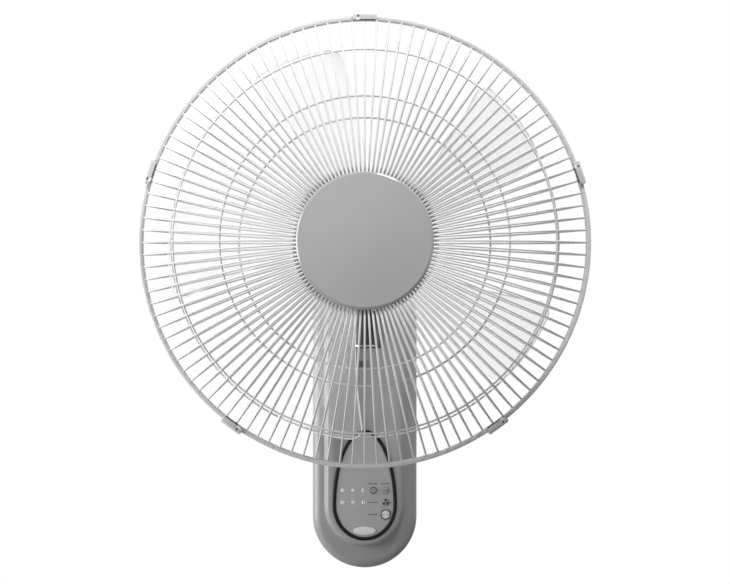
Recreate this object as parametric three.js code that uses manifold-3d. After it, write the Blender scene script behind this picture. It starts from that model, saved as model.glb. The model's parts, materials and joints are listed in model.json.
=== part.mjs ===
// Wall mounted fan with a 400 mm blade wheel, built piece by piece.
// Millimetres, +Z up. The wall is the plane y = 0 and the fan blows towards -Y.
// The origin is the middle of the wall plate's back face.
import * as THREE from 'three';
import { mergeVertices } from 'three/addons/utils/BufferGeometryUtils.js';
import Module from 'manifold-3d';

const wasm = await Module();
wasm.setup();

// ---- driving dimensions ----
const RUNNING_GAP = 0.3; // between pieces that seat on or turn in each other
const SHEET_WALL = 2.5; // moulded casing walls

// column: two moulded half shells on the wall
const COLUMN_RADIUS = 57;
const COLUMN_HALF_STRAIGHT = 108;
const COLUMN_FRONT = 64;
const COLUMN_SPLIT = 35;
const COLUMN_BACK = 0.6;
const COLUMN_RECESS = 8; // hollow behind the rear wall, which takes the wall plate
const COLUMN_EDGE_ROUND = 10;
const PLATEAU_RADIUS = 42.5;
const PLATEAU_BOTTOM = -139.5;
const PLATEAU_FRONT = 78;
const PLATEAU_EDGE_ROUND = 4;
const SHELL_SCREW_INSET = 10; // of the screws from the column's side
const SHELL_SCREW_Z = 24;
const SHELL_SCREW_RADIUS = 1.8;
const SHELL_BOSS_RADIUS = 4.2;
const SHELL_SCREW_REACH = 12; // into the front shell's bosses
const SCREW_HEAD_RADIUS = 3.4;
const SCREW_HEAD_HEIGHT = 2.5;

// wall plate
const PLATE_WIDTH = 70;
const PLATE_HEIGHT = 110;
const PLATE_THICKNESS = 2;
const PLATE_HOLE_RADIUS = 2.6;
const PLATE_HOLE_X = 28;
const PLATE_HOLE_SPACING = 80;
const HOOK_WIDTH = 9;
const HOOK_X = 20;
const HOOK_Z = 32;
const HOOK_LIP = 8;
const HOOK_CLEARANCE = 0.5;
const CORD_INLET_Z = -135;
const CORD_INLET_RADIUS = 4;
const INLET_WALL = 1.5;
const INLET_FLANGE = 2;

// control panel
const PANEL_HALF_WIDTH = 34.9;
const PANEL_MIDDLE = -94.7;
const PANEL_RISE = 82;
const PANEL_DROP = 38.1;
const PANEL_TRIM_WIDTH = 3.1;
const PANEL_RECESS = 1.2;
const PANEL_THICKNESS = 2;
const TRIM_PROUD = 1.4;
const LAMP_RADIUS = 2.4;
const LAMP_COLUMNS = [-24.1, -12.4, -1.5];
const TIMER_ROW_RISE = 16.4; // rows and lens are counted from the panel's widest line
const SPEED_ROW_RISE = 3.3;
const POWER_ROW_DROP = 9.9;
const TIMER_COLUMN = 9.4;
const KEY_COLUMN = 22.8;
const KEY_RADIUS = 3.7;
const POWER_KEY_RADIUS = 5.4;
const KEY_TRAVEL = 1;
const KEY_PROUD = 1;
const KEY_FLANGE = 1;
const KEY_EDGE = 0.4;
const KEY_STEM_SHARE = 0.6; // of the key's radius
const LENS_HALF_WIDTH = 12.5;
const LENS_HALF_HEIGHT = 4.9;
const LENS_DROP = 27.8;
const BOARD_STAND_OFF = 11.9; // behind the shell's front wall
const BOARD_THICKNESS = 1.6;
const BOARD_HALF_WIDTH = 33;
const BOARD_DROP = 17.3;
const BOARD_RISE = 42.7;
const POST_INSET = 5;
const BOARD_POST_RADIUS = 3;
const SWITCH_HALF_WIDTH = 3;
const CHIP_HEIGHT = 2;
const RELAY_HEIGHT = 12;
const DRIVER_HEIGHT = 8;
const CAPACITOR_RADIUS = 9;
const CAPACITOR_HALF_STRAIGHT = 10;
const CAPACITOR_HEIGHT = 24;
const CAPACITOR_Z = -36;
const TERMINAL_HALF_WIDTH = 16;
const TERMINAL_HALF_LENGTH = 7;
const TERMINAL_HEIGHT = 14;
const TERMINAL_Z = -99;
const TERMINAL_PITCH = 10;
const TERMINAL_WELL = 6;
const SWITCH_HEIGHT = 4;

// tilt joint in the column and the neck that comes out of it
const TILT_Z = 104;
const TILT_DEPTH = 42;
const TILT_DOWN_DEG = 20;
const TILT_UP_DEG = 15;
const NECK_WIDTH = 25;
const NECK_HEIGHT = 20;
const KNUCKLE_RADIUS = 12;
const TILT_BOLT_RADIUS = 4;
const BRACKET_WALL = 3;
const NECK_SIDE_CLEARANCE = 2.5; // beside the neck in its slot
const NECK_END_CLEARANCE = 1;
const BRACKET_HALF_HEIGHT = 20;
const BOLT_HEAD_RADIUS = 7;
const BOLT_HEAD_LENGTH = 4;
const NUT_RADIUS = 7.5;
const NUT_LENGTH = 5;
const LATCH_WIDTH = 15.2;
const LATCH_HEIGHT = 16.7;
const LATCH_SLOT_HEIGHT = 6.5;

// swing joint under the motor
const SWING_DEPTH = 160;
const SWIVEL_RADIUS = 14.7;
const SWIVEL_DROP = 22; // under and over the tilt axis
const SWIVEL_RISE = 14;
const SWIVEL_POST_RADIUS = 7;
const BUSH_WALL = 1.9;
const SWIVEL_CLIP_WIDTH = 3.5;
const SWIVEL_CLIP_THICKNESS = 1.5;
const CRANK_THROW = 11.76;
const CRANK_RADIUS = 15;
const CRANK_THICKNESS = 3;
const CRANK_SHAFT_RADIUS = 2.6;
const CRANK_SHAFT_REACH = 4; // into the swing motor
const CRANK_CLEARANCE = 0.6; // under the crank
const LINK_CLEARANCE = 1.4; // under and over the link
const CRANK_REST_DEG = 12.6;
const LEVER_THROW = 20;
const LINK_WIDTH = 7;
const LINK_THICKNESS = 3;
const LINK_PIN_RADIUS = 2;
const SWING_MOTOR_RADIUS = 18;
const SWING_MOTOR_HEIGHT = 13.7;
const SWING_COVER_WALL = 2.2;
const SWING_COVER_CLEARANCE = 0.8; // between the cover and the swivel
const SADDLE_WIDTH = 52;
const SADDLE_LENGTH = 46;
const SADDLE_THICKNESS = 8.1; // under the motor
const SADDLE_WING = 6;
const SADDLE_SHOULDER = 1.4;

// motor
const HOUSING_WALL = 2.2;
const HOUSING_AIR = 7.8; // between the stator and its housing
const HOUSING_EDGE = 6;
const FRONT_COVER_LENGTH = 36;
const REAR_SPACE = 47.6; // behind the rear end bell
const COVER_SCREW_RADIUS = 2;
const COVER_SCREW_HEAD = 4;
const GUARD_BOSS_RADIUS = 20.4;
const GUARD_BOSS_BORE = 16;
const GUARD_BOSS_LENGTH = 12;
const VENTS = 8;
const STATOR_RADIUS = 46;
const STATOR_AHEAD = 32.9; // of the stator's front face from the swing axis
const STATOR_LENGTH = 25;
const STATOR_SLOTS = 8;
const ROTOR_RADIUS = 24;
const AIR_GAP = 0.5;
const BELL_WALL = 2.5;
const BELL_DEPTH = 16;
const BEARING_RADIUS = 8;
const BEARING_LENGTH = 10;
const SHAFT_RADIUS = 4;
const SHAFT_PAST_BELL = 1.6;
const SHAFT_PAST_WHEEL = 9;
const SHAFT_PRESS_GAP = 0.05;
const SHAFT_OIL_GAP = 0.15;

// guards
const SPOKES = 112;
const WIRE_RADIUS = 1.2;
const RING_WIRE = 2.4;
const GUARD_PLATE_RADIUS = 62;
const GUARD_PLATE_THICKNESS = 2;
const RIM_WIRE = 3;
const HOOP_RADIUS = 228;
const HOOP_WALL = 4.7;
const HOOP_BEHIND_BLADES = 5; // its middle plane behind theirs
const HOOP_WIDTH = 12;
const RIM_RING_OFFSET = 4; // of each guard's rim ring from the hoop's middle plane
const GUARD_CLEARANCE = 29.8; // between the spinner nut and the badge's stud
// bends of the spokes: inward of the rim wires, and back or forward of the spokes' roots
const FRONT_BEND_INNER = [75.5, 8.5];
const FRONT_BEND_OUTER = [29, 30.5];
const REAR_BEND_INNER = [71.5, 6.8];
const REAR_BEND_OUTER = [21, 20.8];
// support rings, inward of the rim wires
const FRONT_RING_INNER = 79.3;
const FRONT_RING_OUTER = 31.7;
const REAR_RING_INNER = 92;
const REAR_RING_OUTER = 22.9;
const GUARD_NUT_RADIUS = 27;
const GUARD_NUT_LENGTH = 9;
const GUARD_NUT_NOTCHES = 8;
const BADGE_RADIUS = 67.6;
const BADGE_RIM = 3.2;
const BADGE_CROWN = 6.5;
const BADGE_STUD_RADIUS = 11.5;
const BADGE_STUD_REACH = 2;

// clips round the hoop
const CLIPS = 5;
const CLIP_LENGTH = 24;
const CLIP_WALL = 2.4;
const CLIP_BARREL_RADIUS = 1.7;
const CLIP_BARREL_LENGTH = 15;

// blade wheel
const BLADES = 5;
const BLADE_TIP_CLEARANCE = 22; // inside the rim wires
const BLADE_THICKNESS = 2.2;
const BLADE_BEHIND_HUB = 28; // blades' middle plane behind the hub's front
const BLADE_HALF_DEPTH = 22;
const BLADE_CAMBER = 4;
const BLADE_CORNER = 7;
const LEADING_ROOT_DEG = 231;
const LEADING_TIP_DEG = 241;
const TRAILING_ROOT_DEG = 262;
const TRAILING_TIP_DEG = 269.4;
const WHEEL_HUB_RADIUS = 50;
const WHEEL_HUB_LENGTH = 67;
const WHEEL_HUB_WALL = 2.4;
const WHEEL_HUB_EDGE = 5;
const WHEEL_STAND_OFF = 45; // of the wheel's boss from the motor's
const WHEEL_BOSS_RADIUS = 9;
const WHEEL_BOSS_LENGTH = 34;
const DRIVE_PIN_RADIUS = 1.5;
const DRIVE_PIN_LENGTH = 22;
const SPINNER_RADIUS = 14;
const SPINNER_LENGTH = 13;

// how finely round shapes are faceted: steps in a quarter circle, and sides of turned pieces
const ARC_STEPS = 5;
const FINE_SIDES = 28;
const ROUND_SIDES = 18;
const SMALL_SIDES = 12;
const PIN_SIDES = 8;

const rad = THREE.MathUtils.degToRad;

// ---- sizes that follow from the ones above ----
const shellScrewX = COLUMN_RADIUS - SHELL_SCREW_INSET;
const timerRow = PANEL_MIDDLE + TIMER_ROW_RISE;
const speedRow = PANEL_MIDDLE + SPEED_ROW_RISE;
const powerRow = PANEL_MIDDLE - POWER_ROW_DROP;
const lensMiddle = PANEL_MIDDLE - LENS_DROP;
const boardFront = PLATEAU_FRONT - SHEET_WALL - BOARD_STAND_OFF;
const neckSlotWidth = NECK_WIDTH + 2 * NECK_SIDE_CLEARANCE;
const neckLow = TILT_Z - NECK_HEIGHT / 2;
const neckHigh = TILT_Z + NECK_HEIGHT / 2;
const swivelBottom = TILT_Z - SWIVEL_DROP;
const swivelTop = TILT_Z + SWIVEL_RISE;
const coverRadius = SWING_MOTOR_RADIUS + RUNNING_GAP + SWING_COVER_WALL;
const crankDepth = SWING_DEPTH - SWIVEL_RADIUS - SWING_COVER_CLEARANCE - coverRadius;
const crankBottom = neckHigh + CRANK_CLEARANCE;
const crankTop = crankBottom + CRANK_THICKNESS;
const linkBottom = crankTop + LINK_CLEARANCE;
const linkTop = linkBottom + LINK_THICKNESS;
const saddleBottom = linkTop + LINK_CLEARANCE;
const statorFront = SWING_DEPTH + STATOR_AHEAD;
const statorBack = statorFront - STATOR_LENGTH;
const frontBellFace = statorFront + RUNNING_GAP + BELL_DEPTH;
const rearBellFace = statorBack - RUNNING_GAP - BELL_DEPTH;
const housingRadius = STATOR_RADIUS + HOUSING_AIR + HOUSING_WALL;
const housingFront = frontBellFace + RUNNING_GAP + SHEET_WALL;
const housingSplit = housingFront - FRONT_COVER_LENGTH;
const housingBack = rearBellFace - REAR_SPACE;
const hubHeight = saddleBottom + SADDLE_THICKNESS + housingRadius;
const guardBossFront = housingFront + GUARD_BOSS_LENGTH;
const bossBack = guardBossFront + WHEEL_STAND_OFF;
const wheelFront = bossBack + WHEEL_BOSS_LENGTH;
const wheelBack = wheelFront - WHEEL_HUB_LENGTH;
const bladeMiddle = wheelFront - BLADE_BEHIND_HUB;
const shaftRear = rearBellFace - SHAFT_PAST_BELL;
const shaftFront = wheelFront + SHAFT_PAST_WHEEL;
const spinnerFront = wheelFront + RUNNING_GAP + SPINNER_LENGTH;
const hoopDepth = bladeMiddle - HOOP_BEHIND_BLADES;
const rimRadius = HOOP_RADIUS - HOOP_WALL - RUNNING_GAP - RIM_WIRE / 2;
const bladeTip = rimRadius - RIM_WIRE / 2 - BLADE_TIP_CLEARANCE;
const wireBack = WIRE_RADIUS / 2; // from a spoke's middle line to its flat back
const badgeStudEnd = spinnerFront + GUARD_CLEARANCE;
const frontPlateBack = badgeStudEnd + BADGE_STUD_REACH;
const frontSpokeDepth = frontPlateBack + GUARD_PLATE_THICKNESS + RUNNING_GAP + wireBack;
const rearPlateBack = housingFront + RUNNING_GAP;
const rearPlateFront = rearPlateBack + GUARD_PLATE_THICKNESS;
const rearSpokeDepth = rearPlateFront + RUNNING_GAP + wireBack;

// ---- solids: closed geometry in, closed geometry out ----
function bare(geometry) {
  const plain = geometry.clone();
  plain.deleteAttribute('normal');
  plain.deleteAttribute('uv');
  const merged = mergeVertices(plain, 1e-4);
  if (volumeOf(merged) < 0) {
    const index = merged.index.array;
    for (let i = 0; i < index.length; i += 3) [index[i], index[i + 1]] = [index[i + 1], index[i]];
  }
  return merged;
}

function volumeOf(geometry) {
  const corner = [new THREE.Vector3(), new THREE.Vector3(), new THREE.Vector3()];
  const { index, attributes: { position } } = geometry;
  let sum = 0;
  for (let i = 0; i < index.count; i += 3) {
    corner.forEach((point, k) => point.fromBufferAttribute(position, index.getX(i + k)));
    sum += corner[0].dot(corner[1].clone().cross(corner[2]));
  }
  return sum / 6;
}

function solid(geometry) {
  const plain = bare(geometry);
  return new wasm.Manifold(new wasm.Mesh({
    numProp: 3,
    vertProperties: new Float32Array(plain.attributes.position.array),
    triVerts: new Uint32Array(plain.index.array),
  }));
}

function surface(body) {
  const mesh = body.getMesh();
  const geometry = new THREE.BufferGeometry();
  geometry.setAttribute('position', new THREE.BufferAttribute(mesh.vertProperties, 3));
  geometry.setIndex(new THREE.BufferAttribute(mesh.triVerts, 1));
  return geometry;
}

const join = (...parts) => surface(parts.map(solid).reduce((whole, part) => whole.add(part)));
const cut = (whole, ...holes) =>
  surface(holes.map(solid).reduce((left, hole) => left.subtract(hole), solid(whole)));
const keep = (whole, region) => surface(solid(whole).intersect(solid(region)));

// ---- shapes ----
// A turned piece round the fan's own axis. Profile points are [radius, depth], with depth off the wall.
function turned(profile, sides) {
  const closed = [...profile, profile[0]].map(([radius, depth]) => new THREE.Vector2(radius, -depth));
  return bare(new THREE.LatheGeometry(closed, sides));
}

const tube = (outer, inner, back, front, sides) =>
  turned([[inner, back], [outer, back], [outer, front], [inner, front]], sides);

const rod = (radius, back, front, sides) =>
  turned([[0, back], [radius, back], [radius, front], [0, front]], sides);

// Facets cut across a circle, so a bore is drawn a little wider to leave the true radius clear.
const clearOf = (radius, sides) => radius / Math.cos(Math.PI / sides);
const bore = (radius, back, front, sides) => rod(clearOf(radius, sides), back, front, sides);
const sleeve = (outer, inner, back, front, sides) => tube(outer, clearOf(inner, sides), back, front, sides);

// The same, standing upright: bottom and top are heights.
const uprightSleeve = (outer, inner, bottom, top, sides) =>
  sleeve(outer, inner, -bottom, -top, sides).rotateX(Math.PI / 2);
const uprightRod = (radius, bottom, top, sides) => rod(radius, -bottom, -top, sides).rotateX(Math.PI / 2);
const uprightBore = (radius, bottom, top, sides) => uprightRod(clearOf(radius, sides), bottom, top, sides);
const crossRod = (radius, from, to, sides) => rod(radius, from, to, sides).rotateZ(Math.PI / 2);
const crossBore = (radius, from, to, sides) => crossRod(clearOf(radius, sides), from, to, sides);

// A flat outline in x and z, given its thickness between two depths off the wall.
function slab(outline, back, front, curveSegments = ARC_STEPS) {
  const options = { depth: front - back, bevelEnabled: false, curveSegments };
  return bare(new THREE.ExtrudeGeometry(outline, options)).rotateX(Math.PI / 2).translate(0, -back, 0);
}

// The same with its front edge rounded over.
function roundedSlab(outline, back, front, round, curveSegments = ARC_STEPS) {
  const options = {
    depth: front - round - back,
    bevelThickness: round,
    bevelSize: round,
    bevelOffset: -round,
    bevelSegments: 3,
    curveSegments,
  };
  const whole = new THREE.ExtrudeGeometry(outline, options).rotateX(Math.PI / 2).translate(0, -back, 0);
  const size = 4 * COLUMN_HALF_STRAIGHT;
  return keep(whole, block([-size, size], [back, front + 1], [-size, size]));
}

// A box between limits in x, depth off the wall, and z.
function block([left, right], [back, front], [low, high]) {
  const box = new THREE.BoxGeometry(right - left, front - back, high - low);
  return bare(box.translate((left + right) / 2, -(back + front) / 2, (low + high) / 2));
}

function stadium(radius, low, high) {
  const outline = new THREE.Shape();
  outline.absarc(0, high, radius, 0, Math.PI);
  outline.absarc(0, low, radius, Math.PI, 2 * Math.PI);
  return outline;
}

// The panel's egg: a long half ellipse above its widest line and a short one below.
function egg(inset) {
  const outline = new THREE.Shape();
  const half = PANEL_HALF_WIDTH - inset;
  outline.absellipse(0, PANEL_MIDDLE, half, PANEL_RISE - inset, 0, Math.PI);
  outline.absellipse(0, PANEL_MIDDLE, half, PANEL_DROP - inset, Math.PI, 2 * Math.PI);
  return outline;
}

function oval(halfWidth, halfHeight, z) {
  const outline = new THREE.Shape();
  outline.absellipse(0, z, halfWidth, halfHeight, 0, 2 * Math.PI);
  return outline;
}

// ---- finishes ----
const finish = (color, roughness, metalness) =>
  new THREE.MeshStandardMaterial({ color, roughness, metalness });
const finishes = {
  casing: finish(0xa4a4a4, 0.35, 0),
  darkCasing: finish(0x5c5c5c, 0.5, 0),
  panel: finish(0x8c8c8c, 0.3, 0),
  trim: finish(0x0a0a0a, 0.4, 0),
  lens: finish(0xc4c4c4, 0.15, 0),
  lamp: finish(0xf2f2f2, 0.3, 0),
  wire: finish(0xd6d6d6, 0.35, 0.2),
  hoop: finish(0xb4b4b4, 0.4, 0),
  badge: finish(0xa8a8a8, 0.15, 0),
  clear: finish(0xe8eeee, 0.05, 0),
  steel: finish(0xb0b0b0, 0.35, 1),
  zinc: finish(0x9a9a9a, 0.5, 0.9),
  copper: finish(0xb06a3a, 0.4, 0.8),
  board: finish(0x2f5a3a, 0.6, 0),
  black: finish(0x1c1c1c, 0.6, 0),
};

// ---- assembly ----
const fan = new THREE.Group();
const head = new THREE.Group();
head.position.z = hubHeight;
fan.add(head);

function place(name, geometry, material, parent = fan) {
  const mesh = new THREE.Mesh(geometry, material);
  mesh.name = name;
  parent.add(mesh);
  return mesh;
}

// ---- column ----
const columnLow = -COLUMN_HALF_STRAIGHT;
const columnHigh = COLUMN_HALF_STRAIGHT;
const plateauLow = PLATEAU_BOTTOM + PLATEAU_RADIUS;
const rearWallFront = COLUMN_RECESS + SHEET_WALL;
const plateauInside = PLATEAU_FRONT - SHEET_WALL;
const inletNeck = CORD_INLET_RADIUS + 2 * INLET_WALL - RUNNING_GAP;
const shellScrews = [[-shellScrewX, -SHELL_SCREW_Z], [shellScrewX, SHELL_SCREW_Z]];

const atScrew = (geometry, [x, z]) => geometry.translate(x, 0, z);
const columnOutline = (inset) => stadium(COLUMN_RADIUS - inset, columnLow, columnHigh);
const plateauOutline = (inset) => stadium(PLATEAU_RADIUS - inset, plateauLow, columnHigh);

// The neck leaves through a slot that is as high as its two tilt limits need at the shell's front face.
function neckEdgeAtFront(tilt, side) {
  const reach = PLATEAU_FRONT - TILT_DEPTH;
  const half = NECK_HEIGHT / 2;
  const along = (reach - side * half * Math.sin(tilt)) / Math.cos(tilt);
  return TILT_Z - along * Math.sin(tilt) + side * half * Math.cos(tilt);
}
const slotLow = neckEdgeAtFront(rad(TILT_DOWN_DEG), -1) - NECK_END_CLEARANCE;
const slotHigh = neckEdgeAtFront(rad(-TILT_UP_DEG), 1) + NECK_END_CLEARANCE;
const latchSlotHigh = slotLow - LATCH_HEIGHT;

function wallPlate() {
  const half = PLATE_WIDTH / 2;
  const plate = block([-half, half], [0, PLATE_THICKNESS], [-PLATE_HEIGHT / 2, PLATE_HEIGHT / 2]);
  const lipBack = rearWallFront + RUNNING_GAP;
  const hooks = [-1, 1].flatMap((side) => {
    const across = [side * HOOK_X - HOOK_WIDTH / 2, side * HOOK_X + HOOK_WIDTH / 2];
    const lipFront = lipBack + PLATE_THICKNESS;
    const shelfLow = HOOK_Z - PLATE_THICKNESS;
    const shelf = block(across, [PLATE_THICKNESS / 2, lipFront], [shelfLow, HOOK_Z]);
    const lip = block(across, [lipBack, lipFront], [shelfLow, HOOK_Z + HOOK_LIP]);
    return [shelf, lip];
  });
  const holes = [-1, 1].flatMap((side) => [-1, 1].map((end) =>
    bore(PLATE_HOLE_RADIUS, -1, PLATE_THICKNESS + 1, PIN_SIDES)
      .translate(side * PLATE_HOLE_X, 0, end * PLATE_HOLE_SPACING / 2)));
  return cut(join(plate, ...hooks), ...holes);
}

function rearShell() {
  const body = slab(columnOutline(0), COLUMN_BACK, COLUMN_SPLIT);
  const inside = slab(columnOutline(SHEET_WALL), rearWallFront, COLUMN_SPLIT + 1);
  const recess = slab(columnOutline(SHEET_WALL), 0, COLUMN_RECESS);
  const bosses = shellScrews.map((spot) =>
    atScrew(rod(SHELL_BOSS_RADIUS, rearWallFront - 1, COLUMN_SPLIT, PIN_SIDES), spot));
  const bores = shellScrews.map((spot) =>
    atScrew(bore(SHELL_SCREW_RADIUS + RUNNING_GAP, 0, COLUMN_SPLIT + 1, PIN_SIDES), spot));
  const slotHalf = HOOK_WIDTH / 2 + HOOK_CLEARANCE;
  const slots = [-1, 1].map((side) => block(
    [side * HOOK_X - slotHalf, side * HOOK_X + slotHalf], [COLUMN_RECESS - 1, rearWallFront + 1],
    [HOOK_Z - PLATE_THICKNESS - HOOK_LIP, HOOK_Z + RUNNING_GAP]));
  const inlet = bore(inletNeck + RUNNING_GAP, 0, rearWallFront + 1, SMALL_SIDES);
  inlet.translate(0, 0, CORD_INLET_Z);
  return cut(join(cut(body, inside, recess), ...bosses), ...bores, ...slots, inlet);
}

function frontShell() {
  const back = COLUMN_SPLIT + RUNNING_GAP;
  const base = roundedSlab(columnOutline(0), back, COLUMN_FRONT, COLUMN_EDGE_ROUND);
  const plateau = roundedSlab(plateauOutline(0), back, PLATEAU_FRONT, PLATEAU_EDGE_ROUND);
  const baseInside = roundedSlab(
    columnOutline(SHEET_WALL), back, COLUMN_FRONT - SHEET_WALL, COLUMN_EDGE_ROUND - SHEET_WALL);
  const plateauHollow = slab(plateauOutline(PLATEAU_EDGE_ROUND), back, plateauInside);
  const latchHalf = LATCH_WIDTH / 2;
  const latchAcross = [-latchHalf, latchHalf];
  const latch = block(latchAcross, [plateauInside, PLATEAU_FRONT + 1], [latchSlotHigh, slotLow - 1]);
  const bossEnd = COLUMN_FRONT - SHEET_WALL;
  const bosses = shellScrews.map((spot) =>
    atScrew(rod(SHELL_BOSS_RADIUS, back, bossEnd + 0.25, PIN_SIDES), spot));
  const boreEnd = COLUMN_SPLIT + SHELL_SCREW_REACH + 3;
  const bores = shellScrews.map((spot) =>
    atScrew(bore(SHELL_SCREW_RADIUS + RUNNING_GAP, COLUMN_SPLIT, boreEnd, PIN_SIDES), spot));
  const posts = boardPosts.map(([x, z]) =>
    rod(BOARD_POST_RADIUS, boardFront + RUNNING_GAP, plateauInside + 1, PIN_SIDES).translate(x, 0, z));
  const neckSlot = block(
    [-neckSlotWidth / 2, neckSlotWidth / 2], [COLUMN_FRONT - 9, PLATEAU_FRONT + 5], [slotLow, slotHigh]);
  const latchSlot = block(
    latchAcross, [plateauInside - 5, PLATEAU_FRONT + 5], [latchSlotHigh - LATCH_SLOT_HEIGHT, latchSlotHigh]);
  const recess = slab(egg(-RUNNING_GAP), PLATEAU_FRONT - PANEL_RECESS, PLATEAU_FRONT + 5);
  const shell = cut(join(base, plateau), baseInside, plateauHollow);
  return cut(join(shell, latch, ...bosses, ...posts), ...bores, neckSlot, latchSlot, recess, ...panelHoles());
}

function cordInlet() {
  const back = COLUMN_RECESS - RUNNING_GAP;
  const front = rearWallFront + RUNNING_GAP;
  const flange = inletNeck + INLET_FLANGE;
  const farFront = front + INLET_WALL;
  return turned([
    [CORD_INLET_RADIUS, back - INLET_WALL], [flange, back - INLET_WALL], [flange, back], [inletNeck, back],
    [inletNeck, front], [flange, front], [flange, farFront], [CORD_INLET_RADIUS, farFront],
  ], SMALL_SIDES).translate(0, 0, CORD_INLET_Z);
}

function shellScrew() {
  const headFront = COLUMN_RECESS - RUNNING_GAP;
  const headBack = headFront - SCREW_HEAD_HEIGHT;
  const tip = COLUMN_SPLIT + SHELL_SCREW_REACH;
  const body = turned([
    [0, headBack], [SCREW_HEAD_RADIUS, headBack], [SCREW_HEAD_RADIUS, headFront],
    [SHELL_SCREW_RADIUS, headFront], [SHELL_SCREW_RADIUS, tip - 2], [0, tip],
  ], PIN_SIDES);
  const slot = block([-SCREW_HEAD_RADIUS, SCREW_HEAD_RADIUS], [headBack - 1, headBack + 1.1], [-0.4, 0.4]);
  return cut(body, slot);
}

place('wall_plate', wallPlate(), finishes.zinc);

// ---- control panel ----
const boardLow = PANEL_MIDDLE - BOARD_DROP;
const boardHigh = PANEL_MIDDLE + BOARD_RISE;
const postX = BOARD_HALF_WIDTH - POST_INSET;
const boardPosts = [
  [-postX, boardHigh - POST_INSET], [postX, boardHigh - POST_INSET],
  [-postX, boardLow + POST_INSET], [TIMER_COLUMN, boardLow + POST_INSET],
];
const keys = [
  { name: 'timer', x: TIMER_COLUMN, z: timerRow, radius: KEY_RADIUS },
  { name: 'swing', x: KEY_COLUMN, z: timerRow, radius: KEY_RADIUS },
  { name: 'speed', x: KEY_COLUMN, z: speedRow, radius: KEY_RADIUS },
  { name: 'power', x: KEY_COLUMN, z: powerRow, radius: POWER_KEY_RADIUS },
];
const lampRows = [{ name: 'timer', z: timerRow }, { name: 'speed', z: speedRow }];
const panelBack = PLATEAU_FRONT - PANEL_RECESS + RUNNING_GAP;
const panelFront = panelBack + PANEL_THICKNESS;
const switchFront = boardFront + SWITCH_HEIGHT;

// What passes through the panel plate and the shell behind it, with the running gap round each.
function panelHoles() {
  const depth = [plateauInside - 1, panelFront + 1];
  const keyHoles = keys.map(({ radius, x, z }) =>
    bore(radius + RUNNING_GAP, ...depth, SMALL_SIDES).translate(x, 0, z));
  const lampHoles = lampRows.flatMap((row) => LAMP_COLUMNS.map((x) =>
    bore(LAMP_RADIUS + RUNNING_GAP, ...depth, PIN_SIDES).translate(x, 0, row.z)));
  const lensOutline = oval(LENS_HALF_WIDTH + RUNNING_GAP, LENS_HALF_HEIGHT + RUNNING_GAP, lensMiddle);
  const lensHole = slab(lensOutline, ...depth);
  return [...keyHoles, ...lampHoles, lensHole];
}

function key(radius) {
  const stemRadius = radius * KEY_STEM_SHARE;
  const stemEnd = switchFront + KEY_TRAVEL + RUNNING_GAP;
  const flangeBack = plateauInside - RUNNING_GAP - KEY_TRAVEL - KEY_FLANGE;
  const crown = panelFront + KEY_PROUD;
  return turned([
    [0, stemEnd], [stemRadius, stemEnd], [stemRadius, flangeBack], [radius, flangeBack],
    [radius, crown - KEY_EDGE], [radius - KEY_EDGE, crown], [0, crown],
  ], SMALL_SIDES);
}

function lampGuide() {
  const barBack = boardFront + RUNNING_GAP;
  const barFront = plateauInside - RUNNING_GAP;
  const [first, , last] = LAMP_COLUMNS;
  const high = [-LAMP_RADIUS, LAMP_RADIUS];
  const bar = block([first - LAMP_RADIUS, last + LAMP_RADIUS], [barBack, barFront], high);
  const posts = LAMP_COLUMNS.map((x) =>
    rod(LAMP_RADIUS, barFront - 1, panelFront, PIN_SIDES).translate(x, 0, 0));
  return join(bar, ...posts);
}

function circuitBoard() {
  const back = boardFront - BOARD_THICKNESS;
  const board = block([-BOARD_HALF_WIDTH, BOARD_HALF_WIDTH], [back, boardFront], [boardLow, boardHigh]);
  const around = (place) => [place - SWITCH_HALF_WIDTH, place + SWITCH_HALF_WIDTH];
  const switches = keys.map(({ x, z }) => block(around(x), [boardFront - 0.2, switchFront], around(z)));
  const under = (x, z, height) => block(x, [back - height, back + 0.2], z.map((up) => PANEL_MIDDLE + up));
  const chip = under([-12, 2], [3, 11], CHIP_HEIGHT);
  const relay = under([-28, -16], [19, 35], RELAY_HEIGHT);
  const driver = under([12, 26], [15, 31], DRIVER_HEIGHT);
  return join(board, ...switches, chip, relay, driver);
}

const lensBack = plateauInside;
const lensSkin = roundedSlab(oval(LENS_HALF_WIDTH, LENS_HALF_HEIGHT, lensMiddle), lensBack, panelFront, 1);
const trimRing = cut(
  slab(egg(0), panelBack, panelFront + TRIM_PROUD),
  slab(egg(PANEL_TRIM_WIDTH), panelBack - 1, panelFront + TRIM_PROUD + 1));
const panelFace = cut(slab(egg(PANEL_TRIM_WIDTH + RUNNING_GAP), panelBack, panelFront), ...panelHoles());

place('column_rear_shell', rearShell(), finishes.casing);
place('column_front_shell', frontShell(), finishes.casing);
shellScrews.forEach(([x, z], i) => {
  place(`shell_screw_${i + 1}`, shellScrew(), finishes.zinc).position.set(x, 0, z);
});
place('cord_inlet', cordInlet(), finishes.black);
place('panel_face', panelFace, finishes.panel);
place('panel_trim', trimRing, finishes.trim);
place('receiver_lens', lensSkin, finishes.lens);
lampRows.forEach((row) => {
  place(`${row.name}_lamp_guide`, lampGuide(), finishes.lamp).position.z = row.z;
});
place('circuit_board', circuitBoard(), finishes.board);
keys.forEach(({ name, x, z, radius }) => {
  place(`${name}_button`, key(radius), finishes.panel).position.set(x, 0, z);
});

const seat = rearWallFront + RUNNING_GAP;
place('run_capacitor', runCapacitor(), finishes.black);
place('terminal_block', terminalBlock(), finishes.lamp);

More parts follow.
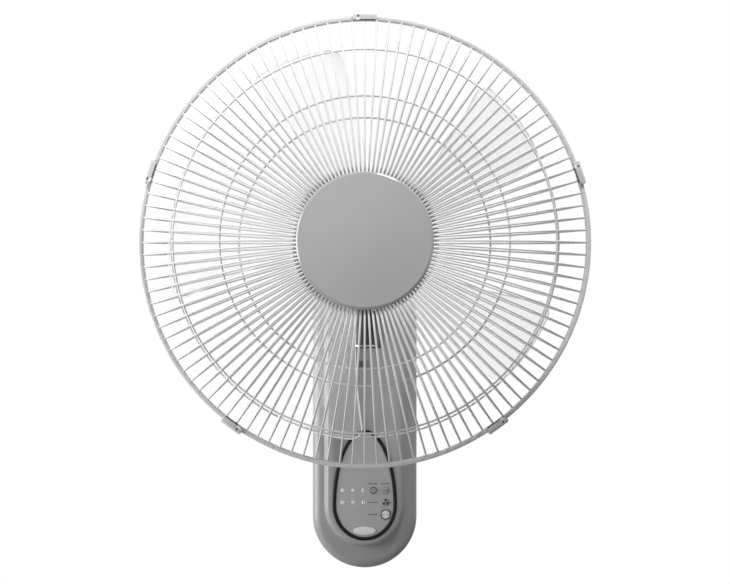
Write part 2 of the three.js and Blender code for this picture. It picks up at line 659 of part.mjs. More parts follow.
function runCapacitor() {
  const [low, high] = [CAPACITOR_Z - CAPACITOR_HALF_STRAIGHT, CAPACITOR_Z + CAPACITOR_HALF_STRAIGHT];
  return slab(stadium(CAPACITOR_RADIUS, low, high), seat, seat + CAPACITOR_HEIGHT, ARC_STEPS - 1);
}

function terminalBlock() {
  const front = seat + TERMINAL_HEIGHT;
  const body = block(
    [-TERMINAL_HALF_WIDTH, TERMINAL_HALF_WIDTH], [seat, front],
    [TERMINAL_Z - TERMINAL_HALF_LENGTH, TERMINAL_Z + TERMINAL_HALF_LENGTH]);
  const wells = [-1, 0, 1].map((side) =>
    rod(2.2, front - TERMINAL_WELL, front + 1, PIN_SIDES).translate(side * TERMINAL_PITCH, 0, TERMINAL_Z));
  return cut(body, ...wells);
}

// ---- tilt joint ----
const cheekInner = NECK_WIDTH / 2 + RUNNING_GAP;
const cheekOuter = cheekInner + BRACKET_WALL;

function tiltBracket() {
  const base = block([-cheekOuter, cheekOuter], [seat, seat + BRACKET_WALL],
    [TILT_Z - BRACKET_HALF_HEIGHT, TILT_Z + BRACKET_HALF_HEIGHT]);
  const cheeks = [-1, 1].flatMap((side) => {
    const across = [cheekInner, cheekOuter].map((x) => side * x).sort((a, b) => a - b);
    const arm = block(across, [seat + 1, TILT_DEPTH], [TILT_Z - KNUCKLE_RADIUS, TILT_Z + KNUCKLE_RADIUS]);
    const end = crossRod(KNUCKLE_RADIUS, ...across, SMALL_SIDES).translate(0, -TILT_DEPTH, TILT_Z);
    return [arm, end];
  });
  const boltBore = crossBore(TILT_BOLT_RADIUS + RUNNING_GAP, -cheekOuter - 1, cheekOuter + 1, PIN_SIDES);
  return cut(join(base, ...cheeks), boltBore.translate(0, -TILT_DEPTH, TILT_Z));
}

function tiltBolt() {
  const headFrom = cheekOuter + RUNNING_GAP;
  const shank = crossRod(TILT_BOLT_RADIUS, -headFrom - NUT_LENGTH - 2, headFrom + 1, PIN_SIDES);
  const headDisc = crossRod(BOLT_HEAD_RADIUS, headFrom, headFrom + BOLT_HEAD_LENGTH, 6);
  return join(shank, headDisc).translate(0, -TILT_DEPTH, TILT_Z);
}

function tiltNut() {
  const from = cheekOuter + RUNNING_GAP;
  const blank = crossRod(NUT_RADIUS, -from - NUT_LENGTH, -from, 6);
  const thread = crossBore(TILT_BOLT_RADIUS + RUNNING_GAP, -from - NUT_LENGTH - 1, -from + 1, PIN_SIDES);
  return cut(blank, thread).translate(0, -TILT_DEPTH, TILT_Z);
}

place('tilt_bracket', tiltBracket(), finishes.zinc);
place('tilt_bolt', tiltBolt(), finishes.steel);
place('tilt_nut', tiltNut(), finishes.steel);

// ---- neck and swing drive ----
const bushOuter = SWIVEL_POST_RADIUS + RUNNING_GAP + BUSH_WALL;
const crankPin = new THREE.Vector2(
  CRANK_THROW * Math.cos(rad(CRANK_REST_DEG)), -crankDepth + CRANK_THROW * Math.sin(rad(CRANK_REST_DEG)));
const leverPin = new THREE.Vector2(LEVER_THROW, -SWING_DEPTH);

function neckArm() {
  const half = NECK_WIDTH / 2;
  const beam = block([-half, half], [TILT_DEPTH, SWING_DEPTH], [neckLow, neckHigh]);
  const knuckle = crossRod(KNUCKLE_RADIUS, -half, half, SMALL_SIDES).translate(0, -TILT_DEPTH, TILT_Z);
  const collar = uprightRod(SWIVEL_RADIUS, swivelBottom, swivelTop, ROUND_SIDES);
  collar.translate(0, -SWING_DEPTH, 0);
  const tiltBore = crossBore(TILT_BOLT_RADIUS + RUNNING_GAP, -half - 1, half + 1, PIN_SIDES)
    .translate(0, -TILT_DEPTH, TILT_Z);
  const swivelBore = uprightBore(bushOuter + RUNNING_GAP, swivelBottom - 1, swivelTop + 1, SMALL_SIDES)
    .translate(0, -SWING_DEPTH, 0);
  const crankBore = uprightBore(CRANK_SHAFT_RADIUS + RUNNING_GAP, neckLow - 1, neckHigh + 1, PIN_SIDES)
    .translate(0, -crankDepth, 0);
  return cut(join(beam, knuckle, collar), tiltBore, swivelBore, crankBore);
}

function swingMotor() {
  const top = neckLow - RUNNING_GAP;
  const can = uprightRod(SWING_MOTOR_RADIUS, top - SWING_MOTOR_HEIGHT, top, ROUND_SIDES);
  const well = uprightBore(CRANK_SHAFT_RADIUS + RUNNING_GAP, top - 6, top + 1, PIN_SIDES);
  return cut(can, well).translate(0, -crankDepth, 0);
}

function swingMotorCover() {
  const inner = SWING_MOTOR_RADIUS + RUNNING_GAP;
  const top = neckLow - RUNNING_GAP;
  const floor = top - SWING_MOTOR_HEIGHT - RUNNING_GAP;
  const cup = uprightRod(coverRadius, floor - SWING_COVER_WALL, top, ROUND_SIDES);
  return cut(cup, uprightBore(inner, floor, top + 1, ROUND_SIDES)).translate(0, -crankDepth, 0);
}

function swingCrank() {
  const disc = uprightRod(CRANK_RADIUS, crankBottom, crankTop, ROUND_SIDES);
  const shaft = uprightRod(CRANK_SHAFT_RADIUS, neckLow - CRANK_SHAFT_REACH, crankBottom + 1, PIN_SIDES);
  const pin = uprightRod(LINK_PIN_RADIUS, crankTop - 1, linkBottom - RUNNING_GAP, PIN_SIDES)
    .translate(crankPin.x, crankPin.y, 0);
  return join(join(disc, shaft).translate(0, -crankDepth, 0), pin);
}

function swingLink() {
  const along = new THREE.Vector2().subVectors(crankPin, leverPin);
  const middle = new THREE.Vector2().addVectors(crankPin, leverPin).multiplyScalar(0.5);
  const reach = along.length() / 2;
  const outline = stadium(LINK_WIDTH / 2, -reach, reach);
  const bar = slab(outline, linkBottom, linkTop, 4).rotateX(-Math.PI / 2);
  const holes = [-reach, reach].map((y) =>
    uprightBore(LINK_PIN_RADIUS + RUNNING_GAP, linkBottom - 1, linkTop + 1, PIN_SIDES).translate(0, y, 0));
  return cut(bar, ...holes).rotateZ(along.angle() - Math.PI / 2).translate(middle.x, middle.y, 0);
}

function swivelSaddle() {
  const saddleTop = hubHeight - housingRadius + SADDLE_WING;
  const half = SADDLE_WIDTH / 2;
  const [back, front] = [SWING_DEPTH - SADDLE_LENGTH / 2, SWING_DEPTH + SADDLE_LENGTH / 2];
  const plate = block([-half, half], [back, front], [saddleBottom, saddleTop]);
  const housing = bore(housingRadius + RUNNING_GAP, 0, housingFront + 10, FINE_SIDES);
  housing.translate(0, 0, hubHeight);
  const post = uprightRod(SWIVEL_POST_RADIUS, swivelBottom - 3.2, saddleBottom + 1, SMALL_SIDES);
  const shoulderRadius = SWIVEL_POST_RADIUS + SADDLE_SHOULDER;
  const shoulder = uprightRod(shoulderRadius, swivelTop + RUNNING_GAP, saddleBottom + 1, SMALL_SIDES);
  const pin = uprightRod(LINK_PIN_RADIUS, linkBottom - LINK_CLEARANCE / 2, saddleBottom + 1, PIN_SIDES)
    .translate(leverPin.x, leverPin.y, 0);
  const stem = join(post, shoulder).translate(0, -SWING_DEPTH, 0);
  return join(cut(plate, housing), stem, pin);
}

// The bush in the neck and the clip under it both go round the saddle's post.
function swivelSleeve(outer, bottom, top) {
  return uprightSleeve(outer, SWIVEL_POST_RADIUS + RUNNING_GAP, bottom, top, SMALL_SIDES)
    .translate(0, -SWING_DEPTH, 0);
}

place('neck_arm', neckArm(), finishes.darkCasing);
place('swivel_bush', swivelSleeve(bushOuter, swivelBottom, swivelTop), finishes.lamp);
place('swing_motor', swingMotor(), finishes.zinc);
place('swing_motor_cover', swingMotorCover(), finishes.darkCasing);
place('swing_crank', swingCrank(), finishes.lamp);
place('swing_link', swingLink(), finishes.zinc);
place('swivel_saddle', swivelSaddle(), finishes.darkCasing);
place('swivel_clip', swivelSleeve(SWIVEL_POST_RADIUS + SWIVEL_CLIP_WIDTH,
  swivelBottom - RUNNING_GAP - SWIVEL_CLIP_THICKNESS, swivelBottom - RUNNING_GAP), finishes.steel);

// ---- motor ----
const motorFrontInside = housingFront - SHEET_WALL;
const shaftBore = SHAFT_RADIUS + SHAFT_OIL_GAP;

function motorFrontCover() {
  const inner = housingRadius - HOUSING_WALL;
  const back = housingSplit + RUNNING_GAP;
  const flatRadius = housingRadius - HOUSING_EDGE;
  return turned([
    [housingRadius, back], [housingRadius, housingFront - HOUSING_EDGE], [flatRadius, housingFront],
    [GUARD_BOSS_RADIUS, housingFront], [GUARD_BOSS_RADIUS, guardBossFront],
    [GUARD_BOSS_BORE, guardBossFront], [GUARD_BOSS_BORE, motorFrontInside],
    [inner - HOUSING_EDGE + 1, motorFrontInside], [inner, motorFrontInside - HOUSING_EDGE + 0.5],
    [inner, back],
  ], FINE_SIDES);
}

function motorRearCover() {
  const length = housingSplit - housingBack;
  const dome = (radius, depth, steps) => Array.from({ length: steps + 1 }, (_, i) => {
    const turn = (i / steps) * Math.PI / 2;
    return [radius * Math.sin(turn) ** 0.75, housingSplit - depth * Math.cos(turn) ** 0.75];
  });
  const outer = dome(housingRadius, length, 5);
  const inner = dome(housingRadius - HOUSING_WALL, length - HOUSING_WALL, 4);
  const shell = turned([...outer, ...inner.reverse()], FINE_SIDES);
  const vents = Array.from({ length: VENTS }, (_, i) => {
    const slot = block([20, 34], [housingBack - 2, housingBack + 14], [-1.8, 1.8]);
    return slot.rotateY((i + 0.5) * 2 * Math.PI / VENTS);
  });
  const screwHole = bore(COVER_SCREW_RADIUS + RUNNING_GAP, housingBack - 1, housingBack + 5, PIN_SIDES);
  return cut(shell, ...vents, screwHole);
}

function endBell(plateFace, direction) {
  const at = (inward) => plateFace + direction * inward;
  const pocket = clearOf(BEARING_RADIUS + RUNNING_GAP, ROUND_SIDES);
  return turned([
    [SHAFT_RADIUS + 1, at(0)], [STATOR_RADIUS, at(0)], [STATOR_RADIUS, at(BELL_DEPTH)],
    [STATOR_RADIUS - 4, at(BELL_DEPTH)], [STATOR_RADIUS - 4, at(BELL_WALL)],
    [pocket + BELL_WALL, at(BELL_WALL)], [pocket + BELL_WALL, at(BELL_WALL + BEARING_LENGTH)],
    [pocket, at(BELL_WALL + BEARING_LENGTH)], [pocket, at(BELL_WALL)], [SHAFT_RADIUS + 1, at(BELL_WALL)],
  ], ROUND_SIDES);
}

function bearing(plateFace, direction) {
  const near = plateFace + direction * (BELL_WALL + RUNNING_GAP);
  const far = near + direction * (BEARING_LENGTH - RUNNING_GAP);
  return sleeve(BEARING_RADIUS, shaftBore, Math.min(near, far), Math.max(near, far), SMALL_SIDES);
}

const slotReach = [ROTOR_RADIUS + AIR_GAP + 3, STATOR_RADIUS - 7];
const slotHalf = 2.2;
const aroundStator = (geometry, i) => geometry.clone().rotateY(((i + 0.5) / STATOR_SLOTS) * 2 * Math.PI);

function statorCore() {
  const stack = sleeve(STATOR_RADIUS, ROTOR_RADIUS + AIR_GAP, statorBack, statorFront, ROUND_SIDES);
  const slot = block(slotReach, [statorBack - 1, statorFront + 1], [-slotHalf, slotHalf]);
  return cut(stack, ...Array.from({ length: STATOR_SLOTS }, (_, i) => aroundStator(slot, i)));
}

function statorWinding() {
  const overhang = 9;
  const [low, high] = [slotReach[0] + 0.6, slotReach[1] - 0.6];
  const coil = (back) => tube(high, low, back, back + overhang, ROUND_SIDES);
  const frontCoil = coil(statorFront + RUNNING_GAP);
  const rearCoil = coil(statorBack - RUNNING_GAP - overhang);
  const sideHalf = slotHalf - 0.6;
  const side = block([low + 1, high - 1], [statorBack - 3, statorFront + 3], [-sideHalf, sideHalf]);
  const sides = Array.from({ length: STATOR_SLOTS }, (_, i) => aroundStator(side, i));
  return join(frontCoil, rearCoil, ...sides);
}

const rotorCore = () =>
  sleeve(ROTOR_RADIUS, SHAFT_RADIUS + SHAFT_PRESS_GAP, statorBack, statorFront, ROUND_SIDES);

const screwBack = housingBack - RUNNING_GAP;

function motorShaft() {
  const shaft = rod(SHAFT_RADIUS, shaftRear, shaftFront, SMALL_SIDES);
  const pinHole = crossBore(DRIVE_PIN_RADIUS + RUNNING_GAP, -SHAFT_RADIUS - 1, SHAFT_RADIUS + 1, PIN_SIDES);
  return cut(shaft, pinHole.translate(0, -pinDepth, 0));
}

function rearCoverScrew() {
  const tip = shaftRear - RUNNING_GAP;
  return turned([
    [0, screwBack - SCREW_HEAD_HEIGHT], [COVER_SCREW_HEAD, screwBack - SCREW_HEAD_HEIGHT],
    [COVER_SCREW_HEAD, screwBack], [COVER_SCREW_RADIUS, screwBack], [COVER_SCREW_RADIUS, tip - 2], [0, tip],
  ], PIN_SIDES);
}

const pinDepth = bossBack + DRIVE_PIN_RADIUS + RUNNING_GAP;

place('motor_front_cover', motorFrontCover(), finishes.casing, head);
place('motor_rear_cover', motorRearCover(), finishes.casing, head);
place('rear_cover_screw', rearCoverScrew(), finishes.zinc, head);
place('front_end_bell', endBell(frontBellFace, -1), finishes.zinc, head);
place('rear_end_bell', endBell(rearBellFace, 1), finishes.zinc, head);
place('front_bearing', bearing(frontBellFace, -1), finishes.steel, head);
place('rear_bearing', bearing(rearBellFace, 1), finishes.steel, head);
place('stator_core', statorCore(), finishes.zinc, head);
place('stator_winding', statorWinding(), finishes.copper, head);
place('rotor_core', rotorCore(), finishes.zinc, head);
place('motor_shaft', motorShaft(), finishes.steel, head);

// ---- guards ----
// Depth of a spoke's middle line at a radius, from its path of [radius, depth] bends.
function depthAt(path, radius) {
  const i = path.findIndex(([reach], k) => k > 0 && radius <= reach);
  const [[r0, d0], [r1, d1]] = [path[i - 1], path[i]];
  return d0 + (d1 - d0) * (radius - r0) / (r1 - r0);
}

// A support ring lies behind the spokes, just clear of them.
function supportRing(path, inward) {
  const radius = rimRadius - inward;
  const half = RING_WIRE / 2;
  const facetRadius = (radius - half) * Math.cos(Math.PI / FINE_SIDES);
  const [near, far] = [depthAt(path, facetRadius), depthAt(path, radius + half)];
  const slope = Math.abs(far - near) / (radius + half - facetRadius);
  const front = Math.min(near, far) - wireBack * Math.hypot(1, slope) - RUNNING_GAP;
  return tube(radius + half, radius - half, front - RING_WIRE, front, FINE_SIDES);
}

// One spoke: a three-sided wire, edge forward, bent along its path of [radius, depth] points.
function spoke(path) {
  const stretches = path.length - 1;
  const wire = new THREE.CylinderGeometry(WIRE_RADIUS, WIRE_RADIUS, stretches, 3, stretches, false, rad(90));
  const { position } = wire.attributes;
  for (let i = 0; i < position.count; i += 1) {
    const k = Math.round(position.getY(i) + stretches / 2);
    const [before, point, after] = [path[Math.max(k - 1, 0)], path[k], path[Math.min(k + 1, stretches)]];
    const along = new THREE.Vector2(after[0] - before[0], before[1] - after[1]).normalize();
    const forward = position.getX(i);
    position.setXY(i, point[0] + along.y * forward, -point[1] - along.x * forward);
  }
  return bare(wire);
}

// The spokes stand on their rim ring, turned so that its corners fall between them.
function guard(path) {
  const [, rimDepth] = path[path.length - 1];
  const half = RIM_WIRE / 2;
  const rim = rimTube(rimRadius + half, rimRadius - half, rimDepth - half, rimDepth + half);
  const wire = spoke(path);
  const spokes = Array.from({ length: SPOKES }, (_, i) => wire.clone().rotateY((i / SPOKES) * 2 * Math.PI));
  return join(rim, ...spokes);
}

const rimTube = (outer, inner, back, front) =>
  tube(outer, inner, back, front, SPOKES / 2).rotateY(Math.PI / SPOKES / 2);
const guardPlate = (opening, back) =>
  sleeve(GUARD_PLATE_RADIUS, opening, back, back + GUARD_PLATE_THICKNESS, FINE_SIDES);

const spokeRoot = GUARD_PLATE_RADIUS - 3;
const bend = ([inward, step], root, way) => [rimRadius - inward, root + way * step];
const frontPath = [
  [spokeRoot, frontSpokeDepth],
  bend(FRONT_BEND_INNER, frontSpokeDepth, -1),
  bend(FRONT_BEND_OUTER, frontSpokeDepth, -1),
  [rimRadius, hoopDepth + RIM_RING_OFFSET],
];
const rearPath = [
  [spokeRoot, rearSpokeDepth],
  bend(REAR_BEND_INNER, rearSpokeDepth, 1),
  bend(REAR_BEND_OUTER, rearSpokeDepth, 1),
  [rimRadius, hoopDepth - RIM_RING_OFFSET],
];

const nutBack = rearPlateFront + RUNNING_GAP;
function guardNut() {
  const nutFront = nutBack + GUARD_NUT_LENGTH;
  const ring = sleeve(GUARD_NUT_RADIUS, GUARD_BOSS_RADIUS + RUNNING_GAP, nutBack, nutFront, ROUND_SIDES);
  const reach = [GUARD_NUT_RADIUS - 1.5, GUARD_NUT_RADIUS + 2];
  const notches = Array.from({ length: GUARD_NUT_NOTCHES }, (_, i) =>
    block(reach, [nutBack - 1, nutFront + 1], [-2.5, 2.5]).rotateY((i / GUARD_NUT_NOTCHES) * 2 * Math.PI));
  return cut(ring, ...notches);
}

const badgeBack = frontSpokeDepth + WIRE_RADIUS + RUNNING_GAP;
function badge() {
  const rim = badgeBack + BADGE_RIM;
  const dome = Array.from({ length: 5 }, (_, i) => {
    const share = i / 4;
    return [(BADGE_RADIUS - 1.2) * (1 - share), rim + 1 + (BADGE_CROWN - 1) * Math.sin(share * Math.PI / 2)];
  });
  return turned([
    [0, badgeStudEnd], [BADGE_STUD_RADIUS, badgeStudEnd], [BADGE_STUD_RADIUS, badgeBack],
    [BADGE_RADIUS, badgeBack], [BADGE_RADIUS, rim], ...dome,
  ], FINE_SIDES);
}

place('rear_guard_plate', guardPlate(GUARD_BOSS_RADIUS + RUNNING_GAP, rearPlateBack), finishes.wire, head);
place('rear_guard', guard(rearPath), finishes.wire, head);
place('rear_guard_inner_ring', supportRing(rearPath, REAR_RING_INNER), finishes.wire, head);
place('rear_guard_outer_ring', supportRing(rearPath, REAR_RING_OUTER), finishes.wire, head);
place('guard_nut', guardNut(), finishes.darkCasing, head);
place('front_guard', guard(frontPath), finishes.wire, head);
place('front_guard_plate', guardPlate(BADGE_STUD_RADIUS + RUNNING_GAP, frontPlateBack), finishes.wire, head);
place('front_guard_inner_ring', supportRing(frontPath, FRONT_RING_INNER), finishes.wire, head);
place('front_guard_outer_ring', supportRing(frontPath, FRONT_RING_OUTER), finishes.wire, head);
place('badge', badge(), finishes.badge, head);

// ---- hoop and its clips ----
const hoopInner = rimRadius + RIM_WIRE / 2 + RUNNING_GAP;
const hoopBack = hoopDepth - HOOP_WIDTH / 2;
const hoopFront = hoopDepth + HOOP_WIDTH / 2;
const barrelReach = HOOP_RADIUS + RUNNING_GAP + CLIP_BARREL_RADIUS;
const barrelDepth = hoopBack + CLIP_BARREL_RADIUS;
const clipAngle = (i) => rad(90 + (i * 360) / CLIPS);

// Clips are drawn at the top of the hoop and turned to their places, so here z is the radius.
const atClip = (geometry, i) => geometry.rotateY(-(clipAngle(i) - Math.PI / 2));

function guardHoop() {
  const band = rimTube(HOOP_RADIUS, hoopInner, hoopBack, hoopFront);
  const lugs = Array.from({ length: CLIPS }, (_, i) => [-1, 1].map((side) => {
    const near = CLIP_BARREL_LENGTH / 2 + RUNNING_GAP;
    const across = [side * near, side * (near + 3)].sort((a, b) => a - b);
    const lug = block(across, [hoopBack, hoopBack + 2 * CLIP_BARREL_RADIUS],
      [HOOP_RADIUS - 1.5, barrelReach + CLIP_BARREL_RADIUS]);
    return atClip(lug, i);
  })).flat();
  return join(band, ...lugs);
}

function guardClip() {
  const half = CLIP_LENGTH / 2;
  const inner = HOOP_RADIUS + RUNNING_GAP;
  const outer = inner + CLIP_WALL;
  const legBack = hoopFront + RUNNING_GAP;
  const backStart = barrelDepth + CLIP_BARREL_RADIUS * Math.SQRT2 + RUNNING_GAP;
  const bridge = block([-half, half], [backStart, legBack + CLIP_WALL], [inner, outer]);
  const leg = block([-half, half], [legBack, legBack + CLIP_WALL], [hoopInner + 0.5, outer]);
  const barrelHalf = CLIP_BARREL_LENGTH / 2;
  const barrel = crossRod(CLIP_BARREL_RADIUS, -barrelHalf, barrelHalf, PIN_SIDES)
    .translate(0, -barrelDepth, barrelReach);
  const tongue = block(
    [-barrelHalf, barrelHalf], [barrelDepth, backStart + 1], [inner, inner + 2 * CLIP_BARREL_RADIUS]);
  return join(bridge, leg, barrel, tongue);
}

place('guard_hoop', guardHoop(), finishes.hoop, head);
for (let i = 0; i < CLIPS; i += 1) {
  place(`guard_clip_${i + 1}`, guardClip(), finishes.hoop, head).rotation.y = -(clipAngle(i) - Math.PI / 2);
}

// ---- blade wheel ----
// A blade is a thin sheet: across runs from leading to trailing edge, out from root to tip.
function blade() {
  const sheet = new THREE.BoxGeometry(1, 1, 1, 4, 4, 1);
  const { position } = sheet.attributes;
  const root = WHEEL_HUB_RADIUS - 2;
  for (let i = 0; i < position.count; i += 1) {
    const across = position.getX(i) + 0.5;
    const out = position.getY(i) + 0.5;
    const tip = bladeTip - BLADE_CORNER * Math.abs(2 * across - 1) ** 5;
    const radius = root + (tip - root) * out;
    const leading = THREE.MathUtils.lerp(LEADING_ROOT_DEG, LEADING_TIP_DEG, out);
    const trailing = THREE.MathUtils.lerp(TRAILING_ROOT_DEG, TRAILING_TIP_DEG, out);
    const angle = rad(THREE.MathUtils.lerp(leading, trailing, across));
    const pitch = BLADE_HALF_DEPTH * (2 * across - 1);
    const camber = BLADE_CAMBER * Math.sin(across * Math.PI);
    const depth = bladeMiddle + pitch + camber + position.getZ(i) * BLADE_THICKNESS;
    position.setXYZ(i, radius * Math.cos(angle), -depth, radius * Math.sin(angle));
  }
  return bare(sheet);
}

function bladeWheel() {
  const shaftHole = clearOf(SHAFT_RADIUS + RUNNING_GAP, FINE_SIDES);
  const hub = turned([
    [WHEEL_HUB_RADIUS, wheelBack], [WHEEL_HUB_RADIUS, wheelFront - WHEEL_HUB_EDGE],
    [WHEEL_HUB_RADIUS - WHEEL_HUB_EDGE, wheelFront], [shaftHole, wheelFront], [shaftHole, bossBack],
    [WHEEL_BOSS_RADIUS, bossBack], [WHEEL_BOSS_RADIUS, wheelFront - WHEEL_HUB_WALL],
    [WHEEL_HUB_RADIUS - WHEEL_HUB_WALL - WHEEL_HUB_EDGE + 1, wheelFront - WHEEL_HUB_WALL],
    [WHEEL_HUB_RADIUS - WHEEL_HUB_WALL, wheelFront - WHEEL_HUB_EDGE - 1],
    [WHEEL_HUB_RADIUS - WHEEL_HUB_WALL, wheelBack],
  ], FINE_SIDES);
  const halfSlot = DRIVE_PIN_RADIUS + RUNNING_GAP;
  const slotReach = WHEEL_BOSS_RADIUS + 1;
  const pinSlot = block(
    [-slotReach, slotReach], [bossBack - 1, bossBack + 2 * halfSlot], [-halfSlot, halfSlot]);
  const blades = Array.from({ length: BLADES }, (_, i) => blade().rotateY((i / BLADES) * 2 * Math.PI));
  const hollowEnd = wheelFront - WHEEL_HUB_EDGE - 3;
  const inside = rod(WHEEL_HUB_RADIUS - WHEEL_HUB_WALL, wheelBack - 1, hollowEnd, FINE_SIDES);
  const core = rod(WHEEL_BOSS_RADIUS + 1, wheelBack - 2, wheelFront, SMALL_SIDES);
  const trimmed = blades.map((sheet) => cut(sheet, cut(inside, core)));
  return cut(join(hub, ...trimmed), pinSlot);
}

function spinnerNut() {
  const back = wheelFront + RUNNING_GAP;
  const front = back + SPINNER_LENGTH;
  const boreEnd = shaftFront + RUNNING_GAP;
  const thread = clearOf(SHAFT_RADIUS + RUNNING_GAP, SMALL_SIDES);
  return turned([
    [thread, back], [SPINNER_RADIUS, back], [SPINNER_RADIUS - 1, front - 4], [SPINNER_RADIUS - 5, front],
    [0, front], [0, boreEnd], [thread, boreEnd],
  ], SMALL_SIDES);
}

place('blade_wheel', bladeWheel(), finishes.clear, head);
place('drive_pin', crossRod(DRIVE_PIN_RADIUS, -DRIVE_PIN_LENGTH / 2, DRIVE_PIN_LENGTH / 2, PIN_SIDES)
  .translate(0, -pinDepth, 0), finishes.steel, head);
place('spinner_nut', spinnerNut(), finishes.darkCasing, head);

export default fan;
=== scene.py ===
# A wall mounted fan: a wire guard with clear blades, on a neck that leaves a slim moulded column.
import json
import math

import bmesh
import bpy
from mathutils import Matrix, Vector


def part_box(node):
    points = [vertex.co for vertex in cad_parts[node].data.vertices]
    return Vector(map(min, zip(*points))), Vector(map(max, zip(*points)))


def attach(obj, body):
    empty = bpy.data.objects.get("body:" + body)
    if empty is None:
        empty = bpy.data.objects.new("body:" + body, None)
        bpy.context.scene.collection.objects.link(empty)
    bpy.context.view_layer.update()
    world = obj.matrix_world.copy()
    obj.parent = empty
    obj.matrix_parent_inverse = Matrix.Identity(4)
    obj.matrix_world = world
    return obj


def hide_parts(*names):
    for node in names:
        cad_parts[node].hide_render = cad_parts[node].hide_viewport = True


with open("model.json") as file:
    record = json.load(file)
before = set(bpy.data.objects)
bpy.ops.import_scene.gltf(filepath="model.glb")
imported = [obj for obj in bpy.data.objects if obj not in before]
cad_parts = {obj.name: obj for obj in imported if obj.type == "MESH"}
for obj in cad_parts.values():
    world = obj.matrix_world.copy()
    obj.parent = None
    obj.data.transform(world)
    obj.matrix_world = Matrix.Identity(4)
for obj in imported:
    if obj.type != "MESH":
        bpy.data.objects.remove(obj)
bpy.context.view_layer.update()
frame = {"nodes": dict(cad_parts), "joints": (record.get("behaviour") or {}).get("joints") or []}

mm = 0.001
joints = {joint["name"]: joint for joint in frame["joints"]}
hubHeight = joints["blade_spin"]["pos_m"][2] / mm


# sizes below are millimetres, and a depth is counted off the wall, so a depth of 100 lies at y = -100
def span(node):
    low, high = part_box(node)
    return [(low[i] / mm, high[i] / mm) for i in range(3)]


def depths(node):
    low, high = span(node)[1]
    return -high, -low


def halfWidth(node):
    low, high = span(node)[0]
    return (high - low) / 2


# ways to draw outlines
def soften(points, steps=5, closed=True):
    # a point is (a, b) or (a, b, round), and round turns its corner into a curve that starts that far off it
    result = []
    count = len(points)
    for i, point in enumerate(points):
        corner = Vector(point[:2])
        radius = point[2] if len(point) > 2 else 0
        ends = not closed and i in (0, count - 1)
        if radius <= 0 or ends:
            result.append(tuple(corner))
            continue
        before = Vector(points[i - 1][:2]) - corner
        after = Vector(points[(i + 1) % count][:2]) - corner
        start = corner + before.normalized() * min(radius, before.length * 0.49)
        end = corner + after.normalized() * min(radius, after.length * 0.49)
        for k in range(steps + 1):
            t = k / steps
            result.append(tuple(start * (1 - t) ** 2 + corner * (2 * t * (1 - t)) + end * t ** 2))
    return result


def circle(radius, sides, x=0, z=0):
    turns = [2 * math.pi * i / sides for i in range(sides)]
    return [(x + radius * math.cos(t), z + radius * math.sin(t)) for t in turns]


def stadium(radius, low, high):
    turns = [math.pi * i / 40 for i in range(41)]
    top = [(radius * math.cos(t), high + radius * math.sin(t)) for t in turns]
    bottom = [(-radius * math.cos(t), low - radius * math.sin(t)) for t in turns]
    return top + bottom


def ellipse(halfAcross, halfUp, z, sides):
    turns = [2 * math.pi * i / sides for i in range(sides)]
    return [(halfAcross * math.cos(t), z + halfUp * math.sin(t)) for t in turns]


# ways to make meshes: every one gives (points, faces) in millimetres
def loft(rings, loop=False):
    # quads from each ring of points to the next, closed at both ends unless the last ring joins the first
    count = len(rings[0])
    points = [point for ring in rings for point in ring]
    pairs = [(k, k + 1) for k in range(len(rings) - 1)]
    if loop:
        pairs.append((len(rings) - 1, 0))
    faces = [(a * count + i, a * count + (i + 1) % count, b * count + (i + 1) % count, b * count + i)
             for a, b in pairs for i in range(count)]
    if not loop:
        last = (len(rings) - 1) * count
        faces += [tuple(reversed(range(count))), tuple(range(last, last + count))]
    return points, faces


def lathe(profile, sides=128, loop=False):
    # a profile of (radius, depth) turned round the fan's own axis
    turns = [2 * math.pi * i / sides for i in range(sides)]
    rings = [[(r * math.cos(t), -d, hubHeight + r * math.sin(t)) for t in turns] for r, d in profile]
    return loft(rings, loop)


def upright(profile, x, depth, sides=64, loop=False):
    # a profile of (radius, height) turned round an upright axis
    turns = [2 * math.pi * i / sides for i in range(sides)]
    rings = [[(x + r * math.cos(t), -depth + r * math.sin(t), z) for t in turns] for r, z in profile]
    return loft(rings, loop)


def across(outline, depth):
    return [(x, -depth, z) for x, z in outline]


def slab(outline, back, front):
    return loft([across(outline, back), across(outline, front)])


def boxShape(x, depth, z):
    outline = [(x[0], z[0]), (x[1], z[0]), (x[1], z[1]), (x[0], z[1])]
    return slab(outline, *depth)


def torus(radius, depth, thick, sides=192, around=10):
    return lathe([(radius + r, depth + d) for r, d in circle(thick, around)], sides, loop=True)


def merged(*shapes):
    points, faces = [], []
    for morePoints, moreFaces in shapes:
        start = len(points)
        points += morePoints
        faces += [tuple(start + i for i in face) for face in moreFaces]
    return points, faces


def moved(shape, matrix):
    points, faces = shape
    return [tuple(matrix @ Vector(point)) for point in points], faces


def aroundHub(shape, angle):
    centre = Matrix.Translation((0, 0, hubHeight))
    return moved(shape, centre @ Matrix.Rotation(-angle, 4, "Y") @ centre.inverted())


weldReach = 0.004  # points nearer than this become one


def meshOf(name, shape):
    points, faces = shape
    mesh = bpy.data.meshes.new(name)
    mesh.from_pydata([Vector(point) * mm for point in points], [], faces)
    work = bmesh.new()
    work.from_mesh(mesh)
    bmesh.ops.remove_doubles(work, verts=work.verts, dist=weldReach * mm)
    bmesh.ops.recalc_face_normals(work, faces=work.faces)
    work.to_mesh(mesh)
    work.free()
    return mesh


def objectOf(name, shape):
    made = bpy.data.objects.new(name, meshOf(name, shape))
    bpy.context.scene.collection.objects.link(made)
    return made


def settle(made):
    # puts a piece's modifiers into its mesh
    bpy.context.view_layer.update()
    mesh = bpy.data.meshes.new_from_object(made.evaluated_get(bpy.context.evaluated_depsgraph_get()))
    made.modifiers.clear()
    made.data = mesh
    return made


